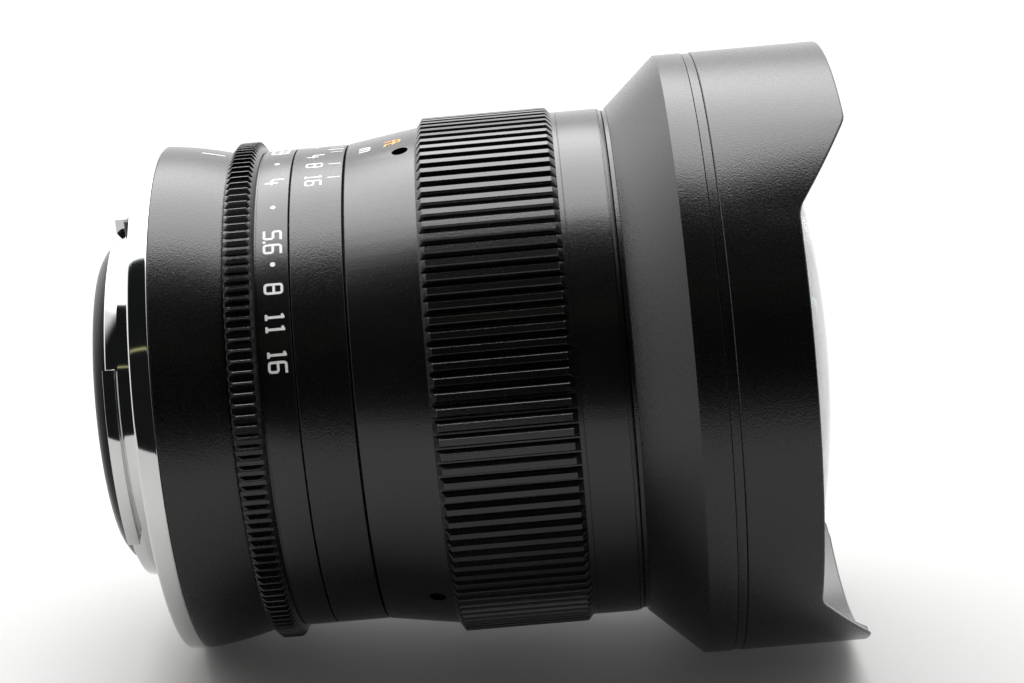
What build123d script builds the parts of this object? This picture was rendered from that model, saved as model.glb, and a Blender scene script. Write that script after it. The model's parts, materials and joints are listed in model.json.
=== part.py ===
from build123d import *
import math
import os

# Wide fisheye lens with a bayonet mount, lying with its optical axis along X.
# The contact face of the mount is at X = 0, the front glass faces +X, the index mark is on top (+Z).
# Angles are measured about the axis from the top towards the near side (-Y), in degrees.
# Stations are places along the axis. Radii are measured from it. All lengths are in mm.

# Clearances
overrun = 1.0
running_gap = 0.08
thread_gap = 0.03
seat_gap = 0.03
cement_gap = 0.02
ring_seam = 0.15
pin_gap = 0.06

# Bayonet mount
flange_radius = 31.0
flange_thickness = 2.4
flange_bevel = 0.25
throat_radius = 20.0
shoulder_radius = 21.8
shoulder_length = 2.95
tube_radius = 21.5
tube_length = 4.5
tube_bevel = 0.2
lug_radius = 23.1
lug_thickness = 1.4
lug_first_angle = 65
lug_span_angle = 56
lug_count = 3
contact_inner_radius = 23.9
contact_relief = 0.3
lock_hole_radius = 1.3
lock_hole_place_radius = 27.2
lock_hole_angle = 262

# Mount screws
mount_screw_count = 4
mount_screw_place_radius = 27.3
mount_screw_head_radius = 1.85
mount_screw_shank_radius = 1.0
mount_screw_head_height = 1.0
mount_screw_recess = 0.15
mount_screw_length = 7.0
mount_screw_slot_length = 1.0
mount_screw_slot_width = 0.36
mount_screw_slot_depth = 0.6

# Stop pin beside the top lug
stop_pin_angle = 8
stop_pin_station = -2.4
stop_pin_radius = 0.55
stop_pin_depth = 1.0
stop_pin_top_radius = 23.7

# Rear light shield
baffle_radius = throat_radius - seat_gap
baffle_rear = -6.7
baffle_front = -0.6
baffle_round = 5.0
baffle_bore_radius = 16.6
baffle_plate = 0.6
baffle_window_width = 24.0
baffle_window_height = 17.0
baffle_window_corner = 2.0

# Rear barrel
barrel_mid_station = 6.6
barrel_mid_radius = 30.4
barrel_front = 10.6
barrel_front_radius = 29.42
barrel_bore_radius = 24.9
journal_radius = 27.9
journal_front = 18.3
barrel_edge_bevel = 0.2

# Aperture ring
aperture_ring_rear = barrel_front + ring_seam
aperture_ring_front = journal_front - ring_seam
aperture_tooth_radius = 30.62
aperture_tooth_bevel = 0.7
aperture_tooth_front = 13.9
aperture_band_start = 14.95
aperture_band_radius = 29.3
aperture_tooth_count = 156
aperture_tooth_depth = 0.5
aperture_groove_top = 0.92
aperture_groove_bottom = 0.4
aperture_edge_bevel = 0.15
aperture_bore_radius = journal_radius + running_gap
aperture_travel = 69

# Click stop of the aperture ring
click_station = 12.4
click_angle = 280
click_ball_radius = 0.6
click_ball_top_radius = 28.1
click_groove_depth = 0.25
click_notch_depth = 0.25
click_groove_width = 1.4
click_notch_shares = (0, 0.145, 0.283, 0.42, 0.565, 0.667, 0.754, 0.87, 1)
click_bore_bottom_radius = 25.3
click_spring_radius = 0.5
click_spring_bore_radius = 0.3

# Link between the aperture ring and the iris
link_rest_angle = 215
link_rear = 14.6
link_front = 16.9
link_middle = (link_rear + link_front) / 2
link_width = 1.6
link_bottom_radius = 15.2
link_top_radius = 28.8
link_window_margin_angle = 4
link_window_gap = 0.3

# Depth scale ring
depth_ring_front = 24.35
depth_ring_radius = 29.3

# Guide barrel with its straight slots
optics_radius = 24.62
guide_bore_radius = optics_radius + running_gap
guide_radius = 26.3
guide_flange_front = 22.3
guide_front = 54.6
guide_screw_count = 3
guide_screw_place_radius = 26.3
guide_screw_radius = 0.8
guide_screw_head_radius = 1.3
guide_screw_head_height = 0.9
guide_screw_depth = 3.0
guide_screw_first_angle = 20

# Focus ring
focus_travel = 0.8
focus_turn = 90
focus_ring_rear = 24.6
focus_rear_radius = 29.35
focus_cone_front = 33.0
focus_cone_radius = 30.63
focus_rib_radius = 31.7
focus_rib_bevel = 0.9
focus_rib_front = 49.3
focus_rib_count = 116
focus_groove_depth = 0.66
focus_groove_top = 0.7
focus_groove_bottom = 0.36
focus_sleeve_radius = 31.0
focus_ring_front = 55.4
focus_edge_bevel = 0.2
focus_lip = 0.7
focus_lip_radius = 25.3
focus_bore_radius = 27.95

# Sleeve with the helical slots, turned by the focus ring
sleeve_bore_radius = guide_radius + running_gap
sleeve_radius = focus_bore_radius - thread_gap
sleeve_rear = guide_flange_front + ring_seam
sleeve_front = 53.0
lock_ring_front = 54.4
follower_station = 40.0
follower_radius = 1.3
follower_bottom_radius = 22.8
follower_top_radius = 27.7
follower_first_angle = 60
follower_count = 3
grub_station = 31.2
grub_first_angle = 13.0
grub_count = 3
grub_radius = 0.95
grub_bottom_radius = 27.1
grub_top_radius = 29.7
grub_socket_radius = 0.5
grub_socket_depth = 0.8
focus_stop_station = 48.5
focus_stop_radius = 1.0
focus_stop_bottom_radius = 25.2
focus_stop_top_radius = 27.6
focus_stop_angle = 0
cam_slot_steps = 15

# Front housing and hood
housing_rear = 55.5
housing_shoulder = 56.0
housing_rear_radius = 31.0
housing_spigot_inset = 0.3
housing_crease = 62.35
hood_radius = 36.8
housing_front = 65.6
seam_ring_width = 1.1
seam_ring_inset = 0.06
seam_line = 0.06
hood_side_edge = 75.4
hood_tip = 82.0
hood_wall = 1.4
hood_side_edge_height = 46.4
hood_tip_spread = 61.6
hood_valley_round = 2.6
hood_tip_round = 1.4
hood_edge_bevel = 0.25
neck_radius = hood_radius - hood_wall - thread_gap
neck_front = 73.4
housing_web = 2.6

# Front glass
front_glass_inset = 3.2
front_rim_radius = hood_radius - front_glass_inset
glass_chamber_inset = 3.0
glass_chamber_radius = front_rim_radius - glass_chamber_inset
front_seat = 66.85
front_ring_overlap = 0.7
front_ring_inner_radius = front_rim_radius - front_ring_overlap
front_ring_front = 75.3
front_ring_lip = 0.4
front_ring_notch_width = 1.6
front_ring_notch_depth = 0.25

# Optics barrel
optics_rear = 8.0
optics_front = 58.5
optics_bore_radius = 22.4
optics_front_bore_radius = 23.2
optics_front_step = 46.4
rear_web_front = 10.0
middle_web_rear = 18.15
middle_web_front = 20.0
middle_web_bore_radius = 10.0

# Front cell
front_cell_front = 63.4
second_rim_radius = 21.5
second_seat = 56.26
third_rim_radius = 16.0
third_seat = 47.2
third_ledge_radius = 14.2
front_cell_ring_width = 0.8
front_cell_ring_inner_radius = 20.4
spacer_inner_radius = 14.9

# Middle cell
middle_rim_radius = 11.5
middle_seat = 22.66
middle_cell_wall = 1.6
middle_cell_front = 31.6
middle_ring_front = 31.0
middle_ring_inner_radius = 10.4

# Rear cell
rear_cell_radius = 13.5
rear_cell_front = 13.8
rear_cell_rear = -5.9
rear_cell_lip_radius = 6.9
sixth_rim_radius = 7.5
sixth_front_seat = 13.35
eighth_rim_radius = 9.0
eighth_front_seat = 5.4
tenth_rim_radius = 11.0
tenth_front_seat = -1.36
rear_flange_radius = 16.0
rear_flange_thickness = 1.5
rear_screw_count = 3
rear_screw_radius = 0.7
rear_screw_head_radius = 1.1
rear_screw_head_height = 0.7
rear_screw_place_radius = 14.8
rear_screw_depth = 1.6
rear_spacer_wall = 1.0
rear_ring_rear = -5.8
rear_ring_inner_radius = 9.8
rear_ring_gap = 0.12

# Iris
iris_blade_count = 7
iris_pivot_radius = 9.0
iris_band_inner_radius = 5.2
iris_band_outer_radius = 8.1
iris_band_angle = 130
iris_band_middle_radius = (iris_band_inner_radius + iris_band_outer_radius) / 2
iris_closed_radius = 0.8
iris_stop_radius = 4.9
iris_blade_thickness = 0.08
iris_layer_spacing_length = 0.12
iris_first_layer_station = 15.9
iris_pivot_pin_radius = 0.4
iris_drive_pin_radius = 0.3
iris_drive_arm_length = 3.2
iris_tab_width = 1.5
iris_plate_rear = 16.86
iris_plate_front = 18.12
iris_housing_radius = 13.3
iris_rim_bore_radius = 12.1
rotor_rear = 14.9
rotor_front = 15.8
rotor_radius = 12.0
rotor_bore_radius = 5.6
rotor_arm_width = 4.6
rotor_arm_radius = 18.5
rotor_fork_bottom_radius = 14.6
iris_cover_rear = 13.95
iris_cover_front = 14.78
iris_cover_bore_radius = 6.6
iris_window_margin_angle = 13
slot_steps = 12

# The lens elements, as shares of their rim radius: length of the rim, curve of the front surface, clear radius of
# the front surface, curve of the rear surface, clear radius of the rear surface. A curve is the way along the axis
# from the surface to its centre, negative towards the mount. A flat margin lies outside each clear radius.
element_shares = {
    1: (0.237, -2.976, 0.98, -0.952, 0.685),
    2: (0.275, -2.884, 0.98, -0.837, 0.688),
    3: (0.483, 5.625, 0.98, -1.250, 0.812),
    4: (0.098, -2.261, 0.88, 3.478, 0.98),
    5: (0.394, 3.478, 0.98, -4.348, 0.86),
    6: (0.589, 4.000, 0.90, -2.133, 0.98),
    7: (0.121, -2.133, 0.98, 3.733, 0.85),
    8: (0.070, -4.444, 0.71, 2.222, 0.98),
    9: (0.296, 2.222, 0.98, 6.667, 0.87),
    10: (0.071, -2.727, 0.71, 3.091, 0.98),
    11: (0.248, 3.091, 0.98, 10.91, 0.88),
}


def out(angle):
    """Unit direction away from the axis at an angle."""
    turn = math.radians(angle)
    return Vector(0, -math.sin(turn), math.cos(turn))


def across(station):
    """Plane square to the axis. Its local polar angle is the angle about the axis from the top."""
    return Plane(origin=(station, 0, 0), x_dir=(0, 0, 1), z_dir=(1, 0, 0))


def radial(station, angle, radius=0):
    """Plane whose normal points away from the axis, at a station, an angle and a radius."""
    direction = out(angle)
    return Plane(origin=Vector(station, 0, 0) + direction * radius, x_dir=(1, 0, 0), z_dir=direction)


def polar(radius, angle):
    """Point of a plane across the axis."""
    turn = math.radians(angle)
    return (radius * math.cos(turn), radius * math.sin(turn))


def shares_of_turn(first, count):
    """Angles of equally spaced copies."""
    return [first + 360 * index / count for index in range(count)]


def turned(*outline, mode=Mode.ADD):
    """Revolve a closed outline of (station, radius) points about the optical axis."""
    with BuildSketch(Plane.XZ) as profile:
        with BuildLine():
            Polyline(*outline, close=True)
        make_face()
    revolve(profile.sketch, axis=Axis.X, mode=mode)


def ring(rear, front, inner, outer, mode=Mode.ADD):
    """Plain ring between two stations and two radii."""
    turned((rear, inner), (front, inner), (front, outer), (rear, outer), mode=mode)


def bevelled_ring(rear, front, inner, outer, bevel):
    """Ring whose two outer edges are bevelled."""
    turned((rear, inner), (front, inner), (front, outer - bevel), (front - bevel, outer),
           (rear + bevel, outer), (rear, outer - bevel))


def sector(rear, front, inner, outer, first, last, mode=Mode.ADD):
    """Part of a ring between two angles."""
    with BuildSketch(across(rear)) as section:
        with BuildLine():
            CenterArc((0, 0), inner, first, last - first)
            CenterArc((0, 0), outer, first, last - first)
            Line(polar(inner, first), polar(outer, first))
            Line(polar(inner, last), polar(outer, last))
        make_face()
    extrude(section.sketch, amount=front - rear, mode=mode)


def radial_pins(station, angles, bottom, top, radius, mode=Mode.ADD):
    """Round pins that stand out from the axis, between two radii."""
    with Locations(*[radial(station, angle, bottom) for angle in angles]):
        Cylinder(radius, top - bottom, align=(Align.CENTER, Align.CENTER, Align.MIN), mode=mode)


def axial_pins(rear, front, angles, place_radius, radius, mode=Mode.ADD):
    """Round pins along the axis, between two stations, at a radius from it."""
    with BuildSketch(across(rear)) as section:
        with Locations(*[polar(place_radius, angle) for angle in angles]):
            Circle(radius)
    extrude(section.sketch, amount=front - rear, mode=mode)


def axial_grooves(rear, front, top_radius, depth, top_width, bottom_width, count):
    """Cut equally spaced grooves, wider at the top, along the outside of a ring."""
    bottom = top_radius - depth
    top = top_radius + depth
    half_bottom = bottom_width / 2
    half_top = top_width - half_bottom
    with BuildSketch() as groove:
        with BuildLine():
            Polyline((bottom, -half_bottom), (top, -half_top), (top, half_top), (bottom, half_bottom), close=True)
        make_face()
    with BuildSketch(across(rear)) as section:
        with PolarLocations(0, count):
            add(groove.sketch)
    extrude(section.sketch, amount=front - rear, mode=Mode.SUBTRACT)


def save(part, name):
    """Label a finished piece and write it."""
    part.label = name
    export_step(part, f"parts/{name}.step")


def sag(curve, radius):
    """Way along the axis from the vertex of a spherical surface to its edge."""
    return curve - math.copysign(math.sqrt(curve ** 2 - radius ** 2), curve)


def rim_length(number, rim):
    """Length of an element's rim."""
    return element_shares[number][0] * rim


def element(number, rim, rear_edge):
    """Lens element whose rim starts at a rear edge."""
    length, front_curve, front_clear, rear_curve, rear_clear = (share * rim for share in element_shares[number])
    front_edge = rear_edge + length
    front_vertex = front_edge - sag(front_curve, front_clear)
    rear_vertex = rear_edge - sag(rear_curve, rear_clear)
    with BuildPart() as glass:
        with BuildSketch(Plane.XZ) as profile:
            with BuildLine():
                Line((rear_vertex, 0), (front_vertex, 0))
                ThreePointArc((front_vertex, 0),
                              (front_vertex + sag(front_curve, front_clear / 2), front_clear / 2),
                              (front_edge, front_clear))
                Polyline((front_edge, front_clear), (front_edge, rim), (rear_edge, rim), (rear_edge, rear_clear))
                ThreePointArc((rear_edge, rear_clear),
                              (rear_vertex + sag(rear_curve, rear_clear / 2), rear_clear / 2),
                              (rear_vertex, 0))
            make_face()
        revolve(axis=Axis.X)
    save(glass.part, f"lens_element_{number}")


os.makedirs("parts", exist_ok=True)

# Bayonet mount: flange, tube and lugs

lug_angles = shares_of_turn(lug_first_angle, lug_count)
mount_screw_angles = shares_of_turn(180 / mount_screw_count, mount_screw_count)
mount_screw_head_front = mount_screw_recess + mount_screw_head_height

with BuildPart() as bayonet_mount:
    turned((-tube_length, throat_radius), (flange_thickness, throat_radius),
           (flange_thickness, flange_radius - flange_bevel), (flange_thickness - flange_bevel, flange_radius),
           (flange_bevel, flange_radius), (0, flange_radius - flange_bevel), (0, contact_inner_radius),
           (contact_relief, contact_inner_radius), (contact_relief, shoulder_radius),
           (-shoulder_length, shoulder_radius),
           (-shoulder_length - (shoulder_radius - tube_radius), tube_radius),
           (tube_bevel - tube_length, tube_radius), (-tube_length, tube_radius - tube_bevel))
    for lug_angle in lug_angles:
        sector(-tube_length, lug_thickness - tube_length, tube_radius - tube_bevel, lug_radius,
               lug_angle, lug_angle + lug_span_angle)
    radial_pins(stop_pin_station, [stop_pin_angle], shoulder_radius - stop_pin_depth, stop_pin_top_radius,
                stop_pin_radius + thread_gap, mode=Mode.SUBTRACT)
    axial_pins(0, flange_thickness, mount_screw_angles, mount_screw_place_radius,
               mount_screw_shank_radius + thread_gap, mode=Mode.SUBTRACT)
    axial_pins(0, mount_screw_head_front, mount_screw_angles, mount_screw_place_radius,
               mount_screw_head_radius + thread_gap, mode=Mode.SUBTRACT)
    axial_pins(0, flange_thickness, [lock_hole_angle], lock_hole_place_radius, lock_hole_radius,
               mode=Mode.SUBTRACT)
save(bayonet_mount.part, "bayonet_mount")

with BuildPart() as mount_screws:
    axial_pins(mount_screw_recess, mount_screw_head_front, mount_screw_angles, mount_screw_place_radius,
               mount_screw_head_radius)
    axial_pins(mount_screw_head_front, mount_screw_length, mount_screw_angles, mount_screw_place_radius,
               mount_screw_shank_radius)
    with BuildSketch(across(mount_screw_recess)):
        with Locations(*[polar(mount_screw_place_radius, angle) for angle in mount_screw_angles]):
            Rectangle(2 * mount_screw_slot_length, mount_screw_slot_width)
            Rectangle(mount_screw_slot_width, 2 * mount_screw_slot_length)
    extrude(amount=mount_screw_slot_depth, mode=Mode.SUBTRACT)
save(mount_screws.part, "mount_screws")

with BuildPart() as bayonet_stop_pin:
    radial_pins(stop_pin_station, [stop_pin_angle], shoulder_radius - stop_pin_depth + seat_gap,
                stop_pin_top_radius, stop_pin_radius)
save(bayonet_stop_pin.part, "bayonet_stop_pin")

# Rear light shield with a rectangular window

with BuildPart() as rear_baffle:
    with BuildSketch(Plane.XZ) as baffle_profile:
        with BuildLine():
            Polyline((baffle_rear, 0), (baffle_rear, baffle_radius - baffle_round))
            RadiusArc((baffle_rear, baffle_radius - baffle_round), (baffle_rear + baffle_round, baffle_radius),
                      baffle_round)
            Polyline((baffle_rear + baffle_round, baffle_radius), (baffle_front, baffle_radius),
                     (baffle_front, baffle_bore_radius), (baffle_rear + baffle_plate, baffle_bore_radius),
                     (baffle_rear + baffle_plate, 0), (baffle_rear, 0))
        make_face()
    revolve(axis=Axis.X)
    with BuildSketch(across(baffle_rear)):
        RectangleRounded(baffle_window_height, baffle_window_width, baffle_window_corner)
    extrude(amount=baffle_plate, mode=Mode.SUBTRACT)
save(rear_baffle.part, "rear_baffle")

# Rear barrel: tapered outside, journal of the aperture ring in front

guide_screw_angles = shares_of_turn(guide_screw_first_angle, guide_screw_count)
link_window_first = link_rest_angle - aperture_travel - link_window_margin_angle
link_window_last = link_rest_angle + link_window_margin_angle

with BuildPart() as rear_barrel:
    with BuildSketch(Plane.XZ) as barrel_profile:
        with BuildLine():
            Polyline((flange_thickness, barrel_bore_radius), (flange_thickness, flange_radius - barrel_edge_bevel),
                     (flange_thickness + barrel_edge_bevel, flange_radius))
            ThreePointArc((flange_thickness + barrel_edge_bevel, flange_radius),
                          (barrel_mid_station, barrel_mid_radius), (barrel_front, barrel_front_radius))
            Polyline((barrel_front, barrel_front_radius), (barrel_front, journal_radius),
                     (journal_front, journal_radius), (journal_front, barrel_bore_radius),
                     (flange_thickness, barrel_bore_radius))
        make_face()
    revolve(axis=Axis.X)
    sector(link_rear - link_window_gap, link_front + link_window_gap, barrel_bore_radius - overrun,
           journal_radius + overrun, link_window_first, link_window_last, mode=Mode.SUBTRACT)
    axial_pins(flange_thickness, mount_screw_length + seat_gap, mount_screw_angles, mount_screw_place_radius,
               mount_screw_shank_radius + thread_gap, mode=Mode.SUBTRACT)
    axial_pins(journal_front - guide_screw_depth - seat_gap, journal_front, guide_screw_angles,
               guide_screw_place_radius, guide_screw_radius + thread_gap, mode=Mode.SUBTRACT)
    radial_pins(click_station, [click_angle], click_bore_bottom_radius, journal_radius + overrun,
                click_ball_radius + thread_gap, mode=Mode.SUBTRACT)
save(rear_barrel.part, "rear_barrel")

# Click stop: a ball pressed out of the journal by a small spring, drawn as a plain sleeve

click_ball_centre_radius = click_ball_top_radius - click_ball_radius

with BuildPart() as detent_ball:
    with Locations(radial(click_station, click_angle, click_ball_centre_radius)):
        Sphere(click_ball_radius)
save(detent_ball.part, "detent_ball")

with BuildPart() as detent_spring:
    radial_pins(click_station, [click_angle], click_bore_bottom_radius + seat_gap,
                click_ball_centre_radius - click_ball_radius - seat_gap, click_spring_radius)
    radial_pins(click_station, [click_angle], click_bore_bottom_radius, click_ball_centre_radius,
                click_spring_bore_radius, mode=Mode.SUBTRACT)
save(detent_spring.part, "detent_spring")

# Aperture ring

with BuildPart() as aperture_ring:
    turned((aperture_ring_rear, aperture_bore_radius), (aperture_ring_front, aperture_bore_radius),
           (aperture_ring_front, aperture_band_radius - aperture_edge_bevel),
           (aperture_ring_front - aperture_edge_bevel, aperture_band_radius),
           (aperture_band_start, aperture_band_radius), (aperture_tooth_front, aperture_tooth_radius),
           (aperture_ring_rear + aperture_tooth_bevel, aperture_tooth_radius),
           (aperture_ring_rear, aperture_tooth_radius - aperture_tooth_bevel))
    axial_grooves(aperture_ring_rear - overrun, aperture_band_start, aperture_tooth_radius, aperture_tooth_depth,
                  aperture_groove_top, aperture_groove_bottom, aperture_tooth_count)
    ring(click_station - click_groove_width / 2, click_station + click_groove_width / 2,
         journal_radius, aperture_bore_radius + click_groove_depth, mode=Mode.SUBTRACT)
    radial_pins(click_station, [click_angle + share * aperture_travel for share in click_notch_shares],
                journal_radius, aperture_bore_radius + click_groove_depth + click_notch_depth,
                click_ball_radius, mode=Mode.SUBTRACT)
    with BuildSketch(radial(link_middle, link_rest_angle)):
        Rectangle(link_front - link_rear + 2 * thread_gap, link_width + 2 * thread_gap)
    extrude(amount=link_top_radius + thread_gap, mode=Mode.SUBTRACT)
save(aperture_ring.part, "aperture_ring")

with BuildPart() as aperture_link:
    with BuildSketch(radial(link_middle, link_rest_angle, link_bottom_radius)):
        Rectangle(link_front - link_rear, link_width)
    extrude(amount=link_top_radius - link_bottom_radius)
save(aperture_link.part, "aperture_link")

# Fixed ring with the depth scale

with BuildPart() as depth_scale_ring:
    bevelled_ring(journal_front, depth_ring_front, focus_bore_radius, depth_ring_radius, aperture_edge_bevel)
save(depth_scale_ring.part, "depth_scale_ring")

# Guide barrel with three straight slots

follower_angles = shares_of_turn(follower_first_angle, follower_count)
guide_screw_head_rear = guide_flange_front - guide_screw_head_height

with BuildPart() as guide_barrel:
    turned((journal_front, guide_bore_radius), (guide_front, guide_bore_radius), (guide_front, guide_radius),
           (guide_flange_front, guide_radius), (guide_flange_front, journal_radius),
           (journal_front, journal_radius))
    for follower_angle in follower_angles:
        with BuildSketch(radial(follower_station + focus_travel / 2, follower_angle, guide_bore_radius - overrun)):
            SlotCenterToCenter(focus_travel, 2 * (follower_radius + pin_gap))
        extrude(amount=guide_radius - guide_bore_radius + 2 * overrun, mode=Mode.SUBTRACT)
    axial_pins(journal_front, guide_flange_front, guide_screw_angles, guide_screw_place_radius,
               guide_screw_radius + thread_gap, mode=Mode.SUBTRACT)
    axial_pins(guide_screw_head_rear, guide_flange_front, guide_screw_angles, guide_screw_place_radius,
               guide_screw_head_radius + thread_gap, mode=Mode.SUBTRACT)
    radial_pins(focus_stop_station, [focus_stop_angle], guide_bore_radius - overrun, guide_radius + overrun,
                focus_stop_radius + thread_gap, mode=Mode.SUBTRACT)
save(guide_barrel.part, "guide_barrel")

with BuildPart() as guide_screws:
    axial_pins(guide_screw_head_rear + seat_gap, guide_flange_front, guide_screw_angles,
               guide_screw_place_radius, guide_screw_head_radius)
    axial_pins(journal_front - guide_screw_depth, guide_screw_head_rear + seat_gap, guide_screw_angles,
               guide_screw_place_radius, guide_screw_radius)
save(guide_screws.part, "guide_screws")

with BuildPart() as focus_stop_screw:
    radial_pins(focus_stop_station, [focus_stop_angle], focus_stop_bottom_radius, focus_stop_top_radius,
                focus_stop_radius)
save(focus_stop_screw.part, "focus_stop_screw")

with BuildPart() as focus_lock_ring:
    ring(sleeve_front + ring_seam, lock_ring_front, guide_radius + thread_gap, sleeve_radius - running_gap)
save(focus_lock_ring.part, "focus_lock_ring")

# Focus ring

grub_angles = shares_of_turn(grub_first_angle, grub_count)

with BuildPart() as focus_ring:
    turned((focus_ring_rear, focus_bore_radius), (focus_ring_front - focus_lip, focus_bore_radius),
           (focus_ring_front - focus_lip, focus_lip_radius), (focus_ring_front, focus_lip_radius),
           (focus_ring_front, focus_sleeve_radius - focus_edge_bevel),
           (focus_ring_front - focus_edge_bevel, focus_sleeve_radius), (focus_rib_front, focus_sleeve_radius),
           (focus_rib_front - focus_rib_bevel, focus_rib_radius),
           (focus_cone_front + focus_rib_bevel, focus_rib_radius), (focus_cone_front, focus_cone_radius),
           (focus_ring_rear + focus_edge_bevel, focus_rear_radius),
           (focus_ring_rear, focus_rear_radius - focus_edge_bevel))
    axial_grooves(focus_cone_front, focus_rib_front, focus_rib_radius, focus_groove_depth, focus_groove_top,
                  focus_groove_bottom, focus_rib_count)
    radial_pins(grub_station, grub_angles, focus_bore_radius - overrun, focus_rib_radius,
                grub_radius + thread_gap, mode=Mode.SUBTRACT)
save(focus_ring.part, "focus_ring")

with BuildPart() as focus_grub_screws:
    radial_pins(grub_station, grub_angles, grub_bottom_radius, grub_top_radius, grub_radius)
    for grub_angle in grub_angles:
        with BuildSketch(radial(grub_station, grub_angle, grub_top_radius - grub_socket_depth)):
            RegularPolygon(grub_socket_radius, 6)
        extrude(amount=grub_socket_depth, mode=Mode.SUBTRACT)
save(focus_grub_screws.part, "focus_grub_screws")

# Sleeve with three helical slots: it turns round the guide barrel and drives the followers along the axis

slot_radius = follower_radius + pin_gap
slot_bottom_radius = sleeve_bore_radius - overrun
slot_depth = sleeve_radius + overrun - slot_bottom_radius
cam_slot_arc = math.radians(focus_turn) * (sleeve_bore_radius + sleeve_radius) / 2
cam_slot_step_length = math.hypot(cam_slot_arc, focus_travel) / cam_slot_steps
cam_slot_slope = math.degrees(math.atan2(focus_travel, cam_slot_arc))

with BuildPart() as focus_cam_sleeve:
    ring(sleeve_rear, sleeve_front, sleeve_bore_radius, sleeve_radius)
    for follower_angle in follower_angles:
        for step in range(cam_slot_steps):
            middle_share = (step + 1 / 2) / cam_slot_steps
            with BuildSketch(radial(follower_station + middle_share * focus_travel,
                                    follower_angle - middle_share * focus_turn, slot_bottom_radius)):
                SlotCenterToCenter(cam_slot_step_length, 2 * slot_radius, rotation=90 + cam_slot_slope)
            extrude(amount=slot_depth, mode=Mode.SUBTRACT)
    radial_pins(grub_station, grub_angles, grub_bottom_radius - seat_gap, sleeve_radius + overrun,
                grub_radius + thread_gap, mode=Mode.SUBTRACT)
    sector(focus_stop_station - focus_stop_radius - pin_gap, focus_stop_station + focus_stop_radius + pin_gap,
           sleeve_bore_radius - overrun, sleeve_radius + overrun, focus_stop_angle - focus_turn, focus_stop_angle,
           mode=Mode.SUBTRACT)
    radial_pins(focus_stop_station, [focus_stop_angle - focus_turn, focus_stop_angle],
                sleeve_bore_radius - overrun, sleeve_radius + overrun, focus_stop_radius + pin_gap,
                mode=Mode.SUBTRACT)
save(focus_cam_sleeve.part, "focus_cam_sleeve")

# Optics barrel: carries every glass and the iris, slides inside the guide barrel

rear_screw_angles = shares_of_turn(0, rear_screw_count)

with BuildPart() as optics_barrel:
    turned((optics_rear, rear_cell_radius + thread_gap), (rear_web_front, rear_cell_radius + thread_gap),
           (rear_web_front, optics_bore_radius), (middle_web_rear, optics_bore_radius),
           (middle_web_rear, middle_web_bore_radius), (middle_web_front, middle_web_bore_radius),
           (middle_web_front, optics_bore_radius), (optics_front_step, optics_bore_radius),
           (optics_front_step, optics_front_bore_radius), (optics_front, optics_front_bore_radius),
           (optics_front, optics_radius), (optics_rear, optics_radius))
    sector(link_rear - focus_travel - link_window_gap, link_front + link_window_gap,
           optics_bore_radius - overrun, optics_radius + overrun, link_window_first, link_window_last,
           mode=Mode.SUBTRACT)
    radial_pins(follower_station, follower_angles, optics_bore_radius - overrun, optics_radius + overrun,
                follower_radius + thread_gap, mode=Mode.SUBTRACT)
    axial_pins(optics_rear, optics_rear + rear_screw_depth, rear_screw_angles, rear_screw_place_radius,
               rear_screw_radius + thread_gap, mode=Mode.SUBTRACT)
save(optics_barrel.part, "optics_barrel")

with BuildPart() as cam_followers:
    radial_pins(follower_station, follower_angles, follower_bottom_radius, follower_top_radius, follower_radius)
save(cam_followers.part, "cam_followers")

# Front housing: the cone, the seat of the front glass and the neck under the hood

with BuildPart() as front_housing:
    turned((housing_rear, optics_radius + thread_gap), (housing_rear + housing_web, optics_radius + thread_gap),
           (housing_rear + housing_web, glass_chamber_radius), (front_seat - seat_gap, glass_chamber_radius),
           (front_seat - seat_gap, front_rim_radius + seat_gap), (neck_front, front_rim_radius + seat_gap),
           (neck_front, neck_radius), (housing_front, neck_radius), (housing_front, hood_radius),
           (housing_crease, hood_radius), (housing_shoulder, housing_rear_radius),
           (housing_shoulder, housing_rear_radius - housing_spigot_inset),
           (housing_rear, housing_rear_radius - housing_spigot_inset))
save(front_housing.part, "front_housing")

with BuildPart() as hood_seam_ring:
    ring(housing_front + seam_line, housing_front + seam_ring_width, neck_radius + thread_gap,
         hood_radius - seam_ring_inset)
save(hood_seam_ring.part, "hood_seam_ring")

# Petal hood: a tube cut in the side view, long above and below, short at both sides

hood_rear = housing_front + seam_ring_width + seam_line

with BuildPart() as petal_hood:
    bevelled_ring(hood_rear, hood_tip, hood_radius - hood_wall, hood_radius, hood_edge_bevel)
    with BuildSketch(Plane.XZ) as side_view:
        with BuildLine():
            Polyline((hood_rear, -hood_radius), (hood_tip, -hood_radius), (hood_tip, -hood_tip_spread / 2),
                     (hood_side_edge, -hood_side_edge_height / 2), (hood_side_edge, hood_side_edge_height / 2),
                     (hood_tip, hood_tip_spread / 2), (hood_tip, hood_radius), (hood_rear, hood_radius),
                     close=True)
        make_face()
        fillet(side_view.vertices().group_by(Axis.X)[1], hood_valley_round)
        fillet(side_view.vertices().group_by(Axis.X)[-1].sort_by(lambda corner: abs(corner.Y))[:2], hood_tip_round)
    extrude(amount=hood_radius, both=True, mode=Mode.INTERSECT)
save(petal_hood.part, "petal_hood")

with BuildPart() as front_retaining_ring:
    turned((neck_front + seat_gap, front_rim_radius + seat_gap),
           (front_ring_front - front_ring_lip, front_rim_radius + seat_gap),
           (front_ring_front - front_ring_lip, front_ring_inner_radius),
           (front_ring_front, front_ring_inner_radius), (front_ring_front, neck_radius),
           (neck_front + seat_gap, neck_radius))
    with BuildSketch(across(front_ring_front - front_ring_notch_depth)):
        Rectangle(front_ring_notch_width, 2 * neck_radius)
    extrude(amount=front_ring_notch_depth, mode=Mode.SUBTRACT)
save(front_retaining_ring.part, "front_retaining_ring")

# Front cell with the second and third elements

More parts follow.
